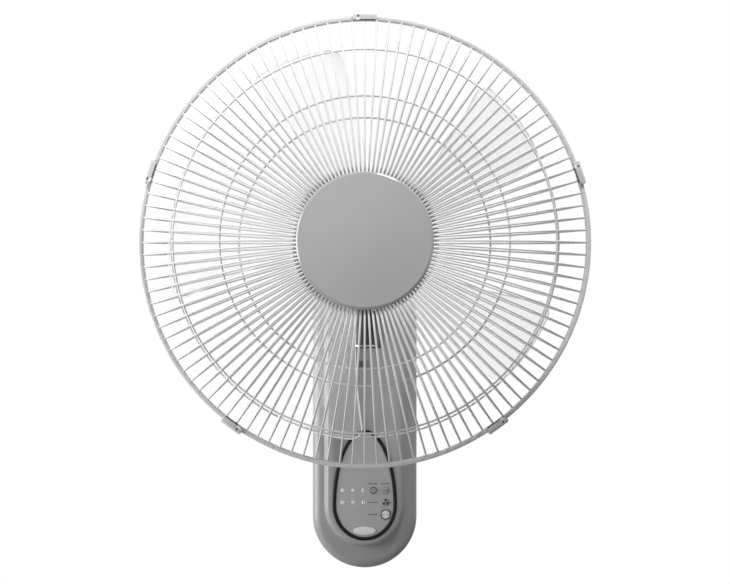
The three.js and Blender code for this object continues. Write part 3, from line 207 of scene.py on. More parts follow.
def combine(made, shape, way):
    tool = objectOf("tool", shape)
    step = made.modifiers.new("step", "BOOLEAN")
    step.object = tool
    step.operation = way
    step.solver = "EXACT"
    settle(made)
    bpy.data.objects.remove(tool)


def carve(made, *shapes):
    # cuts shapes that stand clear of each other out of a piece
    combine(made, merged(*shapes), "DIFFERENCE")
    return made


def unite(made, *shapes):
    for shape in shapes:
        combine(made, shape, "UNION")
    return made


def soften3d(made, width, segments=2, angle=40):
    edge = made.modifiers.new("edge", "BEVEL")
    edge.width = width * mm
    edge.segments = segments
    edge.limit_method = "ANGLE"
    edge.angle_limit = math.radians(angle)
    edge.use_clamp_overlap = True
    return settle(made)


def dress(made, material, body, nodes=(), smooth=38):
    # gives a piece its finish, the body it moves with and the nodes it stands for
    made.data.materials.clear()
    for one in material if isinstance(material, (list, tuple)) else [material]:
        made.data.materials.append(one)
    made.data.shade_smooth()
    made.data.set_sharp_from_angle(angle=math.radians(smooth))
    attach(made, body)
    if nodes:
        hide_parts(*nodes)
    return made


def refine(node, material, body, width=0.4, segments=2, angle=40):
    # a copy of a rigid node with its sharp edges broken, as a moulded or machined piece has
    source = frame["nodes"][node]
    made = bpy.data.objects.new(node + "_fine", source.data.copy())
    bpy.context.scene.collection.objects.link(made)
    work = bmesh.new()
    work.from_mesh(made.data)
    bmesh.ops.remove_doubles(work, verts=work.verts, dist=0.01 * mm)
    bmesh.ops.dissolve_limit(work, angle_limit=math.radians(1), verts=work.verts, edges=work.edges)
    work.to_mesh(made.data)
    work.free()
    soften3d(made, width, segments, angle)
    return dress(made, material, body, [node])


# finishes
wearSpread = 0.15  # how far roughness drifts either way


def noise(material, vector, scale, detail):
    node = material.node_tree.nodes.new("ShaderNodeTexNoise")
    node.inputs["Scale"].default_value = scale
    node.inputs["Detail"].default_value = detail
    material.node_tree.links.new(vector, node.inputs["Vector"])
    return node.outputs["Fac"]


def roughen(material, height, strength, distance):
    bump = material.node_tree.nodes.new("ShaderNodeBump")
    bump.inputs["Strength"].default_value = strength
    bump.inputs["Distance"].default_value = distance
    link = material.node_tree.links.new
    link(height, bump.inputs["Height"])
    link(bump.outputs["Normal"], material.node_tree.nodes["Principled BSDF"].inputs["Normal"])


def finish(name, color, roughness, grain=None, mottle=0.03, **sockets):
    # a principled finish whose colour drifts a little, with a fine grain (scale, strength, distance) if given
    material = bpy.data.materials.new(name)
    material.use_nodes = True
    nodes = material.node_tree.nodes
    link = material.node_tree.links.new
    shader = nodes["Principled BSDF"]
    for socket, value in sockets.items():
        shader.inputs[socket.replace("_", " ")].default_value = value
    place = nodes.new("ShaderNodeTexCoord").outputs["Object"]
    shades = nodes.new("ShaderNodeValToRGB")
    shades.color_ramp.elements[0].position = 0.3
    shades.color_ramp.elements[1].position = 0.7
    shades.color_ramp.elements[0].color = [c * (1 - mottle) for c in color] + [1]
    shades.color_ramp.elements[1].color = [min(c * (1 + mottle), 1) for c in color] + [1]
    link(noise(material, place, 40, 3), shades.inputs["Fac"])
    link(shades.outputs["Color"], shader.inputs["Base Color"])
    rough = nodes.new("ShaderNodeMapRange")
    rough.inputs["To Min"].default_value = roughness * (1 - wearSpread)
    rough.inputs["To Max"].default_value = roughness * (1 + wearSpread)
    link(noise(material, place, 240, 5), rough.inputs["Value"])
    link(rough.outputs["Result"], shader.inputs["Roughness"])
    if grain:
        scale, strength, distance = grain
        roughen(material, noise(material, place, scale, 4), strength, distance)
    return material


def brushed(name, color, roughness, stretch):
    # bare metal with fine marks drawn out along one way
    material = finish(name, color, roughness, Metallic=1.0)
    nodes = material.node_tree.nodes
    place = next(node for node in nodes if node.type == "TEX_COORD")
    drawn = nodes.new("ShaderNodeMapping")
    drawn.inputs["Scale"].default_value = stretch
    material.node_tree.links.new(place.outputs["Object"], drawn.inputs["Vector"])
    roughen(material, noise(material, drawn.outputs["Vector"], 500, 3), 0.25, 0.0001)
    return material


def gray(value):
    # the light that a written screen shade from 0 to 255 stands for
    share = value / 255
    return [share / 12.92 if share < 0.04 else ((share + 0.055) / 1.055) ** 2.4] * 3


casing = finish("casing", gray(146), 0.34, grain=(2600, 0.08, 0.00005), mottle=0.02)
darkCasing = finish("dark_casing", gray(88), 0.45, grain=(2200, 0.15, 0.00006), mottle=0.03)
panelPaint = finish("panel_paint", gray(158), 0.3, grain=(3200, 0.1, 0.00004), mottle=0.02)
trimPlastic = finish("trim", gray(8), 0.5, grain=(1500, 0.05, 0.00004), mottle=0.1, Specular_IOR_Level=0.2)
wireCoat = finish("wire_coat", gray(212), 0.3, grain=(900, 0.12, 0.00008), Specular_IOR_Level=0.15)
hoopPlastic = finish("hoop", gray(204), 0.42, grain=(2400, 0.1, 0.00005), Specular_IOR_Level=0.3)
badgeGloss = finish("badge_gloss", gray(157), 0.12, grain=(700, 0.02, 0.00003), mottle=0.012,
                    Coat_Weight=0.6, Coat_Roughness=0.06)
lensPlastic = finish("lens", gray(212), 0.14, mottle=0.02, Subsurface_Weight=0.25, Subsurface_Scale=0.003)
lampPlastic = finish("lamp", gray(236), 0.3, grain=(2600, 0.08, 0.00004), mottle=0.01)
keyRubber = finish("key_face", gray(152), 0.42, grain=(3000, 0.15, 0.00005), mottle=0.02)
ink = finish("ink", gray(38), 0.5, grain=(4000, 0.1, 0.00003), mottle=0.08)
fadedInk = finish("faded_ink", gray(62), 0.5, grain=(4000, 0.1, 0.00003), mottle=0.08)
neckPlastic = finish("neck_plastic", gray(70), 0.42, grain=(2200, 0.15, 0.00006), mottle=0.03)
latchPlastic = finish("latch_plastic", gray(160), 0.36, grain=(2400, 0.1, 0.00005), mottle=0.02)
paleInk = finish("pale_ink", gray(214), 0.45, grain=(4000, 0.1, 0.00003), mottle=0.03)
blackPlastic = finish("black_plastic", gray(34), 0.55, grain=(1800, 0.2, 0.00008), mottle=0.08)
boardGreen = finish("board", (0.03, 0.1, 0.045), 0.4, grain=(900, 0.1, 0.00005), mottle=0.15)
copper = finish("copper_wire", (0.55, 0.2, 0.07), 0.32, grain=(1600, 0.6, 0.0003), mottle=0.2, Metallic=0.9)
castMetal = finish("cast_bell", gray(165), 0.5, grain=(700, 0.4, 0.0002), mottle=0.06, Metallic=0.9)
zinc = brushed("zinc", gray(176), 0.38, (1, 0.12, 1))
steel = brushed("steel", gray(190), 0.25, (0.1, 1, 1))
clearSheet = finish("clear_sheet", gray(246), 0.06, mottle=0.004, Alpha=0.13, IOR=1.49)
clipPlastic = finish("clip", gray(198), 0.36, grain=(2400, 0.1, 0.00005), mottle=0.03)
clearHub = finish("clear_hub", gray(240), 0.1, mottle=0.004, Alpha=0.34, IOR=1.49)
# a whiter, more opaque clear finish for the blade edges: a painted highlight
clearEdgeHighlight = finish("clear_edge_painted_highlight", gray(252), 0.16, mottle=0.004, Alpha=0.8, IOR=1.49)
print("finishes ready")


# guards: welded wire, each wire bent twice between the middle plate and the rim
guardWires = {
    "wires": 112,
    "radius": 0.98,
    "sides": 8,
    "bend": 22,  # how far before and after a bend the wire starts to turn
    "ringThick": 1.0,
    "rimThick": 1.1,
    "rimRadius": 224.3,
    # (distance from the hub's axis, depth, own bend)
    "frontPath": [(59, 347.2), (68.6, 347.4, 2), (72.6, 353.4, 3), (92, 354.6, 10), (146, 343.2),
                  (192.5, 320.5), (223.6, 274.2)],
    "rearPath": [(58, 215.2), (150, 222), (200.5, 236), (223.6, 265.9)],
    "ringInset": 1.2,
    "ringBehind": 0.7,  # a ring's middle behind its plain ring's front
}


def wireShape(path, turns):
    # one bent wire, repeated round the hub
    radius, sides = guardWires["radius"], guardWires["sides"]
    bends = [(*point[:2], point[2] if len(point) > 2 else guardWires["bend"]) for point in path]
    line = soften(bends, 7, closed=False)
    rings = []
    for k, (r, d) in enumerate(line):
        before, after = line[max(k - 1, 0)], line[min(k + 1, len(line) - 1)]
        along = Vector((after[0] - before[0], after[1] - before[1])).normalized()
        rings.append([(r - along.y * a, d + along.x * a, side) for a, side in circle(radius, sides)])
    shapes = []
    for turn in turns:
        c, s = math.cos(turn), math.sin(turn)
        shapes.append(loft([[(r * c - side * s, -d, hubHeight + r * s + side * c) for r, d, side in ring]
                            for ring in rings]))
    return merged(*shapes)


def makeGuard(end, rings):
    turns = [2 * math.pi * i / guardWires["wires"] for i in range(guardWires["wires"])]
    rimDepth = guardWires[end + "Path"][-1][1]
    rim = torus(guardWires["rimRadius"], rimDepth, guardWires["rimThick"], 224)
    wires = objectOf(end + "_guard_wires", merged(wireShape(guardWires[end + "Path"], turns), rim))
    dress(wires, wireCoat, "head", [end + "_guard"], 60)
    for node in rings:
        back, front = depths(node)
        radius = halfWidth(node) - guardWires["ringInset"]
        shape = torus(radius, front - guardWires["ringBehind"], guardWires["ringThick"])
        ring = objectOf(node + "_wire", shape)
        dress(ring, wireCoat, "head", [node], 60)


makeGuard("rear", ["rear_guard_inner_ring", "rear_guard_outer_ring"])
makeGuard("front", ["front_guard_inner_ring", "front_guard_outer_ring"])

guardPlates = {"round": 0.6, "bore": {"rear_guard_plate": 20.7, "front_guard_plate": 11.8}}
for node, hole in guardPlates["bore"].items():
    back, front = depths(node)
    edge = guardPlates["round"]
    outer = halfWidth(node)
    plate = soften([(hole, back, edge), (outer, back, edge), (outer, front, edge), (hole, front, edge)], 3)
    dress(objectOf(node + "_pressed", lathe(plate, 96, loop=True)), wireCoat, "head", [node])
print("guards welded")


# hoop and its clips
hoop = {
    "inner": 223.3,
    "round": 1.7,
    "frontRound": 4.4,
    "grooveDeep": 0.5,
    "grooveHalf": 1.6,  # the groove round the hoop's middle
    "grooveFloor": 1,
    "lugWide": 3,
    "lugGap": 0.3,
    "lugFoot": 226.8,
    "lugTop": 231.7,
}
clip = {
    "turns": [0, 72, 144, 216, 288],  # degrees from the top
    "length": 24,
    "wall": 1.5,
    "bulge": 0.7,      # how far the bridge stands above its wall
    "round": 0.7,
    "inner": 228.3,
    "legEnd": 223.9,
    "barrelRadius": 1.7,
    "barrelLength": 15,
    "barrelReach": 230,
    "barrelGap": 1,
    "tongueLength": 4,
    "tongueThick": 3.2,
    "markDeep": 0.5,
    "dotInset": 5.5,
    "dotRadius": 1.1,
    "dotAbove": 1.6,
    "tab": 2.6,
    "tabBelow": (2.6, 0.4),   # counted down from the leg's middle
    # the dark strip under the leg is painted shadow for the gap between clip and hoop: its half length,
    # height and depths
    "shadowStripHalf": 10,
    "lip": 1.1,
    "shadowStripDepths": (1.4, 0.2),  # counted back from the clip's front
}


def hoopBand():
    back, front = depths("guard_hoop")
    outer, inner, edge = halfWidth("guard_hoop"), hoop["inner"], hoop["round"]
    middle = (back + front) / 2
    low, wide, narrow = outer - hoop["grooveDeep"], hoop["grooveHalf"], hoop["grooveFloor"]
    profile = soften([
        (inner, back, 0.6), (outer, back, edge), (outer, middle - wide, 0.4), (low, middle - narrow, 0.4),
        (low, middle + narrow, 0.4), (outer, middle + wide, 0.4), (outer, front, hoop["frontRound"]),
        (inner, front, 0.8)], 5)
    return lathe(profile, 256, loop=True)


def crossSlab(outline, left, right):
    # an outline in depth and height, drawn out sideways
    return loft([[(x, -d, z) for d, z in outline] for x in (left, right)])


def makeHoop():
    back, front = depths("guard_hoop")
    lugs = []
    low, high = hubHeight + hoop["lugFoot"], hubHeight + hoop["lugTop"]
    deep = 2 * clip["barrelRadius"]
    lug = soften([(back, low, 0), (back, high, 1.4), (back + deep, high, 1.4), (back + deep, low, 0)], 4)
    for turn in clip["turns"]:
        for side in (-1, 1):
            near = side * (clip["barrelLength"] / 2 + hoop["lugGap"])
            shape = crossSlab(lug, near, near + side * hoop["lugWide"])
            lugs.append(aroundHub(shape, math.radians(turn)))
    band = objectOf("guard_hoop_band", merged(hoopBand(), *lugs))
    dress(band, hoopPlastic, "head", ["guard_hoop"], 35)


def clipShape():
    # drawn at the top of the hoop: a hinge barrel behind, a bridge over the hoop and a leg in front of it
    back, front = depths("guard_clip_1")
    half, wall, edge = clip["length"] / 2, clip["wall"], clip["round"]
    inner = hubHeight + clip["inner"]
    legEnd = hubHeight + clip["legEnd"]
    start = back + 2 * clip["barrelRadius"] + clip["barrelGap"]
    top = inner + wall + clip["bulge"]
    section = [
        (start, inner, 0.3), (start, top, edge), (front - 3.4, top, 1.5), (front, top - 1, 1.4),
        (front, legEnd, edge), (front - wall, legEnd, 0.4), (front - wall, inner, 0.3)]
    middle = Vector((front - 2, inner))
    rings = []
    ends = [(half, 0.72), (half - 0.5, 0.9), (half - 1.3, 1)]
    for x, shrink in [(-x, shrink) for x, shrink in ends] + ends[::-1]:
        ring = [middle + (Vector(point) - middle) * shrink for point in soften(section, 4)]
        rings.append([(x, -d, z) for d, z in ring])
    return loft(rings)


def makeClip(number, turn):
    back, front = depths("guard_clip_1")
    half = clip["barrelLength"] / 2
    depth, height = back + clip["barrelRadius"], hubHeight + clip["barrelReach"]
    barrel = crossSlab(circle(clip["barrelRadius"], 24, depth, height), -half, half)
    foot, end = hubHeight + clip["inner"], depth + clip["tongueLength"]
    top = foot + clip["tongueThick"]
    tongue = soften([(depth, foot, 0.3), (depth, top, 0.5), (end, top - 0.3, 0.5), (end, foot, 0.3)], 3)
    tongue = crossSlab(tongue, -half + 0.4, half - 0.4)
    angle = math.radians(turn)
    name = f"guard_clip_{number}"
    body = f"clip_{number}"
    moulding = objectOf(name + "_moulding", aroundHub(merged(clipShape(), barrel, tongue), angle))
    dress(moulding, clipPlastic, body, [name], 35)

    # the marks on its front: a dark dot, a pale tab, and under the leg a dark strip of ink that is painted
    # shadow, the shade in the gap beside the hoop
    legMiddle = hubHeight + (clip["inner"] + clip["legEnd"]) / 2
    x = -clip["length"] / 2 + clip["dotInset"]
    sunk = front - clip["markDeep"]
    dot = slab(circle(clip["dotRadius"], 20, x, legMiddle + clip["dotAbove"]), sunk, front + 0.02)
    dress(objectOf(name + "_dot", aroundHub(dot, angle)), ink, body)
    left, right = x - clip["tab"], x + clip["tab"] - 1
    low, high = [legMiddle - drop for drop in clip["tabBelow"]]
    pad = soften([(left, low, 0.8), (right, low, 0.8), (right, high, 0.8), (left, high, 0.8)], 3)
    tab = objectOf(name + "_tab", aroundHub(slab(pad, sunk, front + 0.04), angle))
    dress(tab, lampPlastic, body)
    # the dark strip laid under the leg's end is painted shadow
    shadowStripTop = hubHeight + clip["legEnd"] + 0.1
    shadowStripBack, shadowStripFront = [front - depth for depth in clip["shadowStripDepths"]]
    lip = boxShape((-clip["shadowStripHalf"], clip["shadowStripHalf"]), (shadowStripBack, shadowStripFront), (shadowStripTop - clip["lip"], shadowStripTop))
    dress(objectOf(name + "_painted_shadow", aroundHub(lip, angle)), ink, body)


makeHoop()
for number, turn in enumerate(clip["turns"], 1):
    makeClip(number, turn)
print("hoop and clips made")


# badge: a glossy dome with a rolled rim, left bare
badge = {"stud": 11.5, "studLong": 6.4, "roll": 3.8, "rollHigh": 3.2, "rollSteps": 14, "wallHigh": 1.4,
         "steps": 26, "tip": 0.02}


def makeBadge():
    back, front = depths("badge")
    outer = halfWidth("badge")
    plate = back + badge["studLong"]
    wallTop = plate + badge["wallHigh"]
    shoulder, edge = outer - badge["roll"], wallTop + badge["rollHigh"]
    rim = []
    for k in range(badge["rollSteps"]):
        turn = math.pi / 2 * k / badge["rollSteps"]
        rim.append((shoulder + badge["roll"] * math.cos(turn), wallTop + badge["rollHigh"] * math.sin(turn)))
    dome = []
    for k in range(badge["steps"] + 1):
        share = k / badge["steps"]
        dome.append((shoulder * (1 - share), edge + (front - edge) * math.sin(share * math.pi / 2)))
    stud, tip = badge["stud"], badge["tip"]
    profile = [(tip, back), (stud, back), (stud, plate), (outer - 0.6, plate), (outer, plate + 0.6)]
    profile += rim + dome[:-1] + [(tip, front)]
    dress(objectOf("badge_dome", lathe(profile, 160)), badgeGloss, "head", ["badge"], 50)


makeBadge()
print("badge made")


# blade wheel: one clear moulding, five pitched blades on a hub
wheel = {
    "blades": 5,
    "root": 47.9,
    "tip": 198,
    "leading": (231, 241),   # degrees at the root and at the tip
    "trailing": (262, 269.4),
    "halfDepth": 22,
    "camber": 4,
    "thick": 2.0,
    "corner": 13,
    "behindFront": 28,
    "hubRadius": 50,
    "hubWall": 2.4,
    "hubRound": 5,
    "boss": 9,
    "bore": 4.35,
    "bossLength": 34,
}


def bladePoint(acrossShare, outShare, lift):
    start, end = wheel["leading"], wheel["trailing"]
    leading = start[0] + (start[1] - start[0]) * outShare
    trailing = end[0] + (end[1] - end[0]) * outShare
    angle = math.radians(leading + (trailing - leading) * acrossShare)
    arc = math.radians(end[1] - start[1]) * wheel["tip"]
    corner = wheel["corner"]
    inward = max(corner - arc * min(acrossShare, 1 - acrossShare), 0)
    drop = corner - math.sqrt(max(corner ** 2 - inward ** 2, 0))
    radius = wheel["root"] + (wheel["tip"] - drop - wheel["root"]) * outShare
    middle = depths("blade_wheel")[1] - wheel["behindFront"]
    bow = wheel["camber"] * math.sin(acrossShare * math.pi)
    depth = middle - wheel["halfDepth"] * (1 - 2 * acrossShare) + bow
    return radius * math.cos(angle), -(depth + lift), hubHeight + radius * math.sin(angle)


def bladeShape(wide=30, long=26):
    # two faces a sheet apart, joined by a border of quads; rim holds the faces near the outer edges, which
    # get the painted highlight
    shares = [(1 - math.cos(math.pi * i / wide)) / 2 for i in range(wide + 1)]
    points, faces, edges, rim = [], [], [], set()
    for side in (1, -1):
        for j in range(long + 1):
            out = math.sin(math.pi / 2 * j / long)
            points += [bladePoint(s, out, side * wheel["thick"] / 2) for s in shares]
    row = wide + 1
    layer = row * (long + 1)
    for j in range(long):
        for i in range(wide):
            a = j * row + i
            if i < 2 or i > wide - 3 or j > long - 3:
                rim.update((len(faces), len(faces) + 1))
            faces.append((a, a + 1, a + row + 1, a + row))
            faces.append((layer + a, layer + a + row, layer + a + row + 1, layer + a + 1))
    border = list(range(row)) + [j * row + wide for j in range(1, long + 1)]
    border += [long * row + i for i in range(wide - 1, -1, -1)] + [j * row for j in range(long - 1, 0, -1)]
    for k, a in enumerate(border):
        b = border[(k + 1) % len(border)]
        edges.append((a, layer + a, layer + b, b))
    return points, faces, edges, rim


def makeWheel():
    # the sheet is nearly clear; its edge faces and a band along its border get a whiter, more opaque finish,
    # a painted highlight for the light that the edges catch
    back, front = depths("blade_wheel")
    points, faces, edges, rim = bladeShape()
    for i in range(wheel["blades"]):
        turn = 2 * math.pi * i / wheel["blades"]
        blade = objectOf(f"blade_{i + 1}", aroundHub((points, faces + edges), turn))
        dress(blade, [clearSheet, clearEdgeHighlight], "rotor", ["blade_wheel"], 30)
        for index, polygon in enumerate(blade.data.polygons):
            polygon.material_index = 1 if index >= len(faces) or index in rim else 0
    hub, wall, edge = wheel["hubRadius"], wheel["hubWall"], wheel["hubRound"]
    boss = front - wheel["bossLength"]
    inside, bore, radius = hub - wall, wheel["bore"], wheel["boss"]
    profile = soften([
        (hub, back, 0.8), (hub, front, edge), (bore, front, 0.4), (bore, boss, 0.4), (radius, boss, 0.8),
        (radius, front - wall, 1.5), (inside, front - wall, edge - wall), (inside, back, 0.8)], 6)
    cap = objectOf("wheel_hub", lathe(profile, 128, loop=True))
    dress(cap, clearHub, "rotor", ["blade_wheel"], 40)


makeWheel()
print("blade wheel made")


# column: a moulded front shell with a raised plateau, and a rear shell against the wall
column = {
    "halfStraight": 108,
    "edge": 10,
    "wall": 2.5,
    "base": 64,        # depth of the front face beside the plateau
    "plateauRadius": 42.5,
    "plateauLow": -97,
    "plateauEdge": 4.5,
    "foot": 2.6,       # fillet where the plateau rises
    "crown": 2.2,
    "slotWide": 15,
    "slotHeights": (79.25, 125),
    "latchWide": 7.6,
    "latchSlot": (56.05, 62.55),
    "latchHeights": (62.55, 78.3),
    "latchGap": 0.3,
    "latchDeep": 3.5,
    "recess": 8,       # hollow behind the rear shell
    "screws": [(-47, -24), (47, 24)],
    "bossRadius": 4.2,
    "screwHole": 2.1,
    "floorInset": 20,
    "hookWindow": {"middle": 20, "half": 5, "heights": (21.5, 32.3)},
    "inletRadius": 7,
    "inletHeight": -135,
}


def stadiumRing(radius, low, depthOf):
    # depthOf is a depth, or gives one from x
    high = column["halfStraight"]
    return [(x, -(depthOf(x) if callable(depthOf) else depthOf), z) for x, z in stadium(radius, low, high)]


def crowned(top, half, x):
    return top - column["crown"] * min(abs(x) / half, 1) ** 2


def frontShellOuter():
    back, top = depths("column_front_shell")
    outer, high = halfWidth("column_front_shell"), column["halfStraight"]
    rise, base, edge = column["plateauRadius"], column["base"], column["edge"]
    lip, foot = column["plateauEdge"], column["foot"]
    rings = [stadiumRing(outer, -high, back), stadiumRing(outer, -high, back + 0.8)]
    for k in range(9):
        turn = math.pi / 2 * k / 8
        radius, depth = outer - edge * (1 - math.cos(turn)), base - edge * (1 - math.sin(turn))
        rings.append(stadiumRing(radius, -high, depth))
    for k in range(6):
        turn = math.pi / 2 * k / 5
        rings.append(stadiumRing(rise + foot * (1 - math.sin(turn)), column["plateauLow"],
                                 base + foot * (1 - math.cos(turn))))
    for k in range(7):
        turn = math.pi / 2 * k / 6
        drop, radius = lip * (1 - math.sin(turn)), rise - lip * (1 - math.cos(turn))
        rings.append(stadiumRing(radius, column["plateauLow"], lambda x: crowned(top, rise - lip, x) - drop))
    for radius in (36, 33, 29, 24, 18, 12, 6, 1):
        rings.append(stadiumRing(radius, column["plateauLow"], lambda x: crowned(top, rise - lip, x)))
    return loft(rings)


def frontShellInner():
    back, top = depths("column_front_shell")
    wall, high = column["wall"], column["halfStraight"]
    outer, inner = halfWidth("column_front_shell") - wall, column["plateauRadius"] - column["plateauEdge"]
    corner = column["edge"] - wall
    rings = [stadiumRing(outer, -high, back - 5), stadiumRing(outer, -high, column["base"] - wall - corner)]
    for k in range(1, 6):
        turn = math.pi / 2 * k / 5
        rings.append(stadiumRing(outer - corner * (1 - math.cos(turn)), -high,
                                 column["base"] - wall - corner * (1 - math.sin(turn))))
    rings += [stadiumRing(inner, column["plateauLow"], column["base"] - wall),
              stadiumRing(inner, column["plateauLow"], top - wall - column["crown"])]
    return loft(rings)


def roundedBox(x, depth, z, radius):
    corners = [(x[0], z[0]), (x[1], z[0]), (x[1], z[1]), (x[0], z[1])]
    return slab(soften([(*corner, radius) for corner in corners], 5), *depth)


def eggOutline(inset=0, steps=40):
    half, rise, drop = panel["half"] - inset, panel["rise"] - inset, panel["drop"] - inset
    turns = [math.pi * i / steps for i in range(2 * steps)]
    tall = [rise if t <= math.pi else drop for t in turns]
    return [(half * math.cos(t), panel["middle"] + up * math.sin(t)) for t, up in zip(turns, tall)]


panel = {
    "half": 34.9,
    "middle": -94.7,
    "rise": 82,
    "drop": 38.1,
    "trim": 3.1,
    "crown": 2.0,
    "lamps": [-24.1, -12.4, -1.5],
    "lampRadius": 2.1,
    "lampRows": {"timer": (-78.3, "124"), "speed": (-91.4, "123")},
    "digit": 3.1,
    "keys": {"timer": (9.4, -78.3, 3.7), "swing": (22.8, -78.3, 3.7), "speed": (22.8, -91.4, 3.7),
             "power": (22.8, -104.6, 5.4)},
    "gap": 0.3,
    "plateBack": 0.9,
    "lens": (12.5, 4.9, -122.5),
    "lensGap": 0.25,
    "trimSunk": 1.4,
    "signDepths": (0.9, 1.06),
    "stemShare": 0.6,
    "capBack": -4.4,
    "labels": [(9.4, -71.2, 10), (22.8, -71.2, 10), (9.4, -91.4, 10), (9.4, -104.6, 10)],
    "dashes": [2.1, 1.5, 2.3, 1.3],
    "dashGap": 0.75,
    "dashWide": 1.3,
}


def makeColumn():
    back, top = depths("column_front_shell")
    low, high = column["slotHeights"]
    shell = carve(objectOf("column_front", frontShellOuter()), frontShellInner())
    carve(
        shell,
        roundedBox((-column["slotWide"], column["slotWide"]), (50, top + 5), (low, high), 3),
        roundedBox((-column["latchWide"], column["latchWide"]), (70, top + 5), column["latchSlot"], 1),
        slab(eggOutline(-panel["gap"]), top - 2.9, top + 5),
    )
    soften3d(shell, 0.25, 2, 50)
    dress(shell, casing, "column", ["column_front_shell"], 30)
    half = column["latchWide"] - column["latchGap"]
    makeLatch(half, top)
    tongueLow, tongueHigh = column["latchSlot"]
    tongue = boxShape((-half, half), (top - 6, top - 4.6), (tongueLow + 0.3, tongueHigh + 1))
    dress(objectOf("latch_tongue", tongue), latchPlastic, "column")
    makeRearShell()


def makeLatch(half, top):
    low, high = column["latchHeights"]
    low, high = low + 0.2, high - 1
    sunk, face = top - column["latchDeep"], top - 0.15
    outline = soften([(low, sunk, 0.3), (low, face, 1.0), (high, face, 0.5), (high, sunk, 0.3)], 4)
    rings = []
    for side, drop in [(-1, 0.4), (-0.94, 0), (0.94, 0), (1, 0.4)]:
        rings.append([(side * half, -(d - drop), z) for z, d in outline])
    dress(objectOf("latch", loft(rings)), latchPlastic, "column")


def makeRearShell():
    wall, recess, screws = column["wall"], column["recess"], column["screws"]
    rear, front = depths("column_rear_shell")
    outer, straight = halfWidth("column_rear_shell"), column["halfStraight"]
    inside, step, floorTop = outer - wall, outer - column["floorInset"], recess + wall
    profile = [
        (inside, rear), (outer - 0.8, rear), (outer, rear + 0.8), (outer, front - 0.4), (outer - 0.4, front),
        (inside, front), (inside, floorTop), (step, floorTop), (step, recess), (inside, recess)]
    rings = [stadiumRing(radius, -straight, depth) for radius, depth in profile]
    floor = slab(stadium(step + 1, -straight, straight), recess, floorTop)
    bossRadius = column["bossRadius"]
    boss = lathe([(bossRadius, recess + 1), (bossRadius, front)], 32)
    bosses = [moved(boss, Matrix.Translation((x, 0, z - hubHeight))) for x, z in screws]
    holes = [slab(circle(column["screwHole"], 24, x, z), -1, front + 1) for x, z in screws]
    window = column["hookWindow"]
    through = (recess - 1, floorTop + 1)
    hooks = []
    for side in (-1, 1):
        middle = side * window["middle"]
        hooks.append(boxShape((middle - window["half"], middle + window["half"]), through, window["heights"]))
    inlet = slab(circle(column["inletRadius"], 32, 0, column["inletHeight"]), -1, floorTop + 1)
    rearShell = unite(objectOf("column_rear", loft(rings, loop=True)), floor, *bosses)
    carve(rearShell, *holes, *hooks, inlet)
    dress(rearShell, casing, "column", ["column_rear_shell"], 30)


makeColumn()
refine("wall_plate", zinc, "column", 0.3)
for node in ("shell_screw_1", "shell_screw_2"):
    refine(node, zinc, "column", 0.2)
inletBack, inletFront = depths("cord_inlet")
inletLip = halfWidth("cord_inlet")
inletNeck = column["inletRadius"] - 0.3
inletBore, inletRim = 4, 1.5
grommet = soften([
    (inletBore, inletBack, 0.6), (inletLip, inletBack, 0.7), (inletLip, inletBack + inletRim, 0.4),
    (inletNeck, inletBack + inletRim, 0.2), (inletNeck, inletFront - inletRim, 0.2),
    (inletLip, inletFront - inletRim, 0.4), (inletLip, inletFront, 0.7), (inletBore, inletFront, 0.6)], 4)
ring = moved(lathe(grommet, 48, loop=True), Matrix.Translation((0, 0, column["inletHeight"] - hubHeight)))
dress(objectOf("cord_grommet", ring), blackPlastic, "column", ["cord_inlet"])
print("column made")


# control panel: a crowned egg of satin plastic in a gloss trim, with lamps, keys and a receiver lens
def crownDrop(x):
    return panel["crown"] * (x / panel["half"]) ** 2


def faceDepth(x):
    return depths("panel_face")[1] - crownDrop(x)


def eggRing(inset, lift=0):
    return [(x, -(faceDepth(x) + lift), z) for x, z in eggOutline(inset)]


def onPanel(shape):
    # follows the crown of the panel's face: depths are counted from the face at the middle
    points, faces = shape
    return [(x, -(faceDepth(x) - y), z) for x, y, z in points], faces


def textShape(body, size, x, z, back, front):
    curve = bpy.data.curves.new("letter", "FONT")
    curve.body = body
    curve.size = size * mm
    curve.align_x = "CENTER"
    curve.align_y = "CENTER"
    curve.resolution_u = 3
    curve.extrude = (front - back) / 2 * mm
    made = bpy.data.objects.new("letter", curve)
    bpy.context.scene.collection.objects.link(made)
    bpy.context.view_layer.update()
    mesh = bpy.data.meshes.new_from_object(made.evaluated_get(bpy.context.evaluated_depsgraph_get()))
    middle = (front + back) / 2
    points = [(x + v.co.x / mm, -(middle + v.co.z / mm), z + v.co.y / mm) for v in mesh.vertices]
    faces = [tuple(polygon.vertices) for polygon in mesh.polygons]
    bpy.data.objects.remove(made)
    return points, faces


def ringShape(radius, thick, x, z, back, front, sides=40):
    outer, inner = circle(radius, sides, x, z), circle(radius - thick, sides, x, z)
    rings = [across(outer, back), across(outer, front), across(inner, front), across(inner, back)]
    return loft(rings, loop=True)


def barShape(x, z, long, wide, back, front, turn=0):
    c, s = math.cos(turn), math.sin(turn)
    a, b, edge = long / 2, wide / 2, wide * 0.45
    corners = [(-a, -b, edge), (a, -b, edge), (a, b, edge), (-a, b, edge)]
    return slab([(x + a * c - b * s, z + a * s + b * c) for a, b in soften(corners, 3)], back, front)


def wedgeShape(x, z, inner, outer, start, end, back, front, steps=10):
    turns = [start + (end - start) * i / steps for i in range(steps + 1)]
    outline = [(x + outer * math.cos(t), z + outer * math.sin(t)) for t in turns]
    outline += [(x + inner * math.cos(t), z + inner * math.sin(t)) for t in reversed(turns)]
    return slab(outline, back, front)


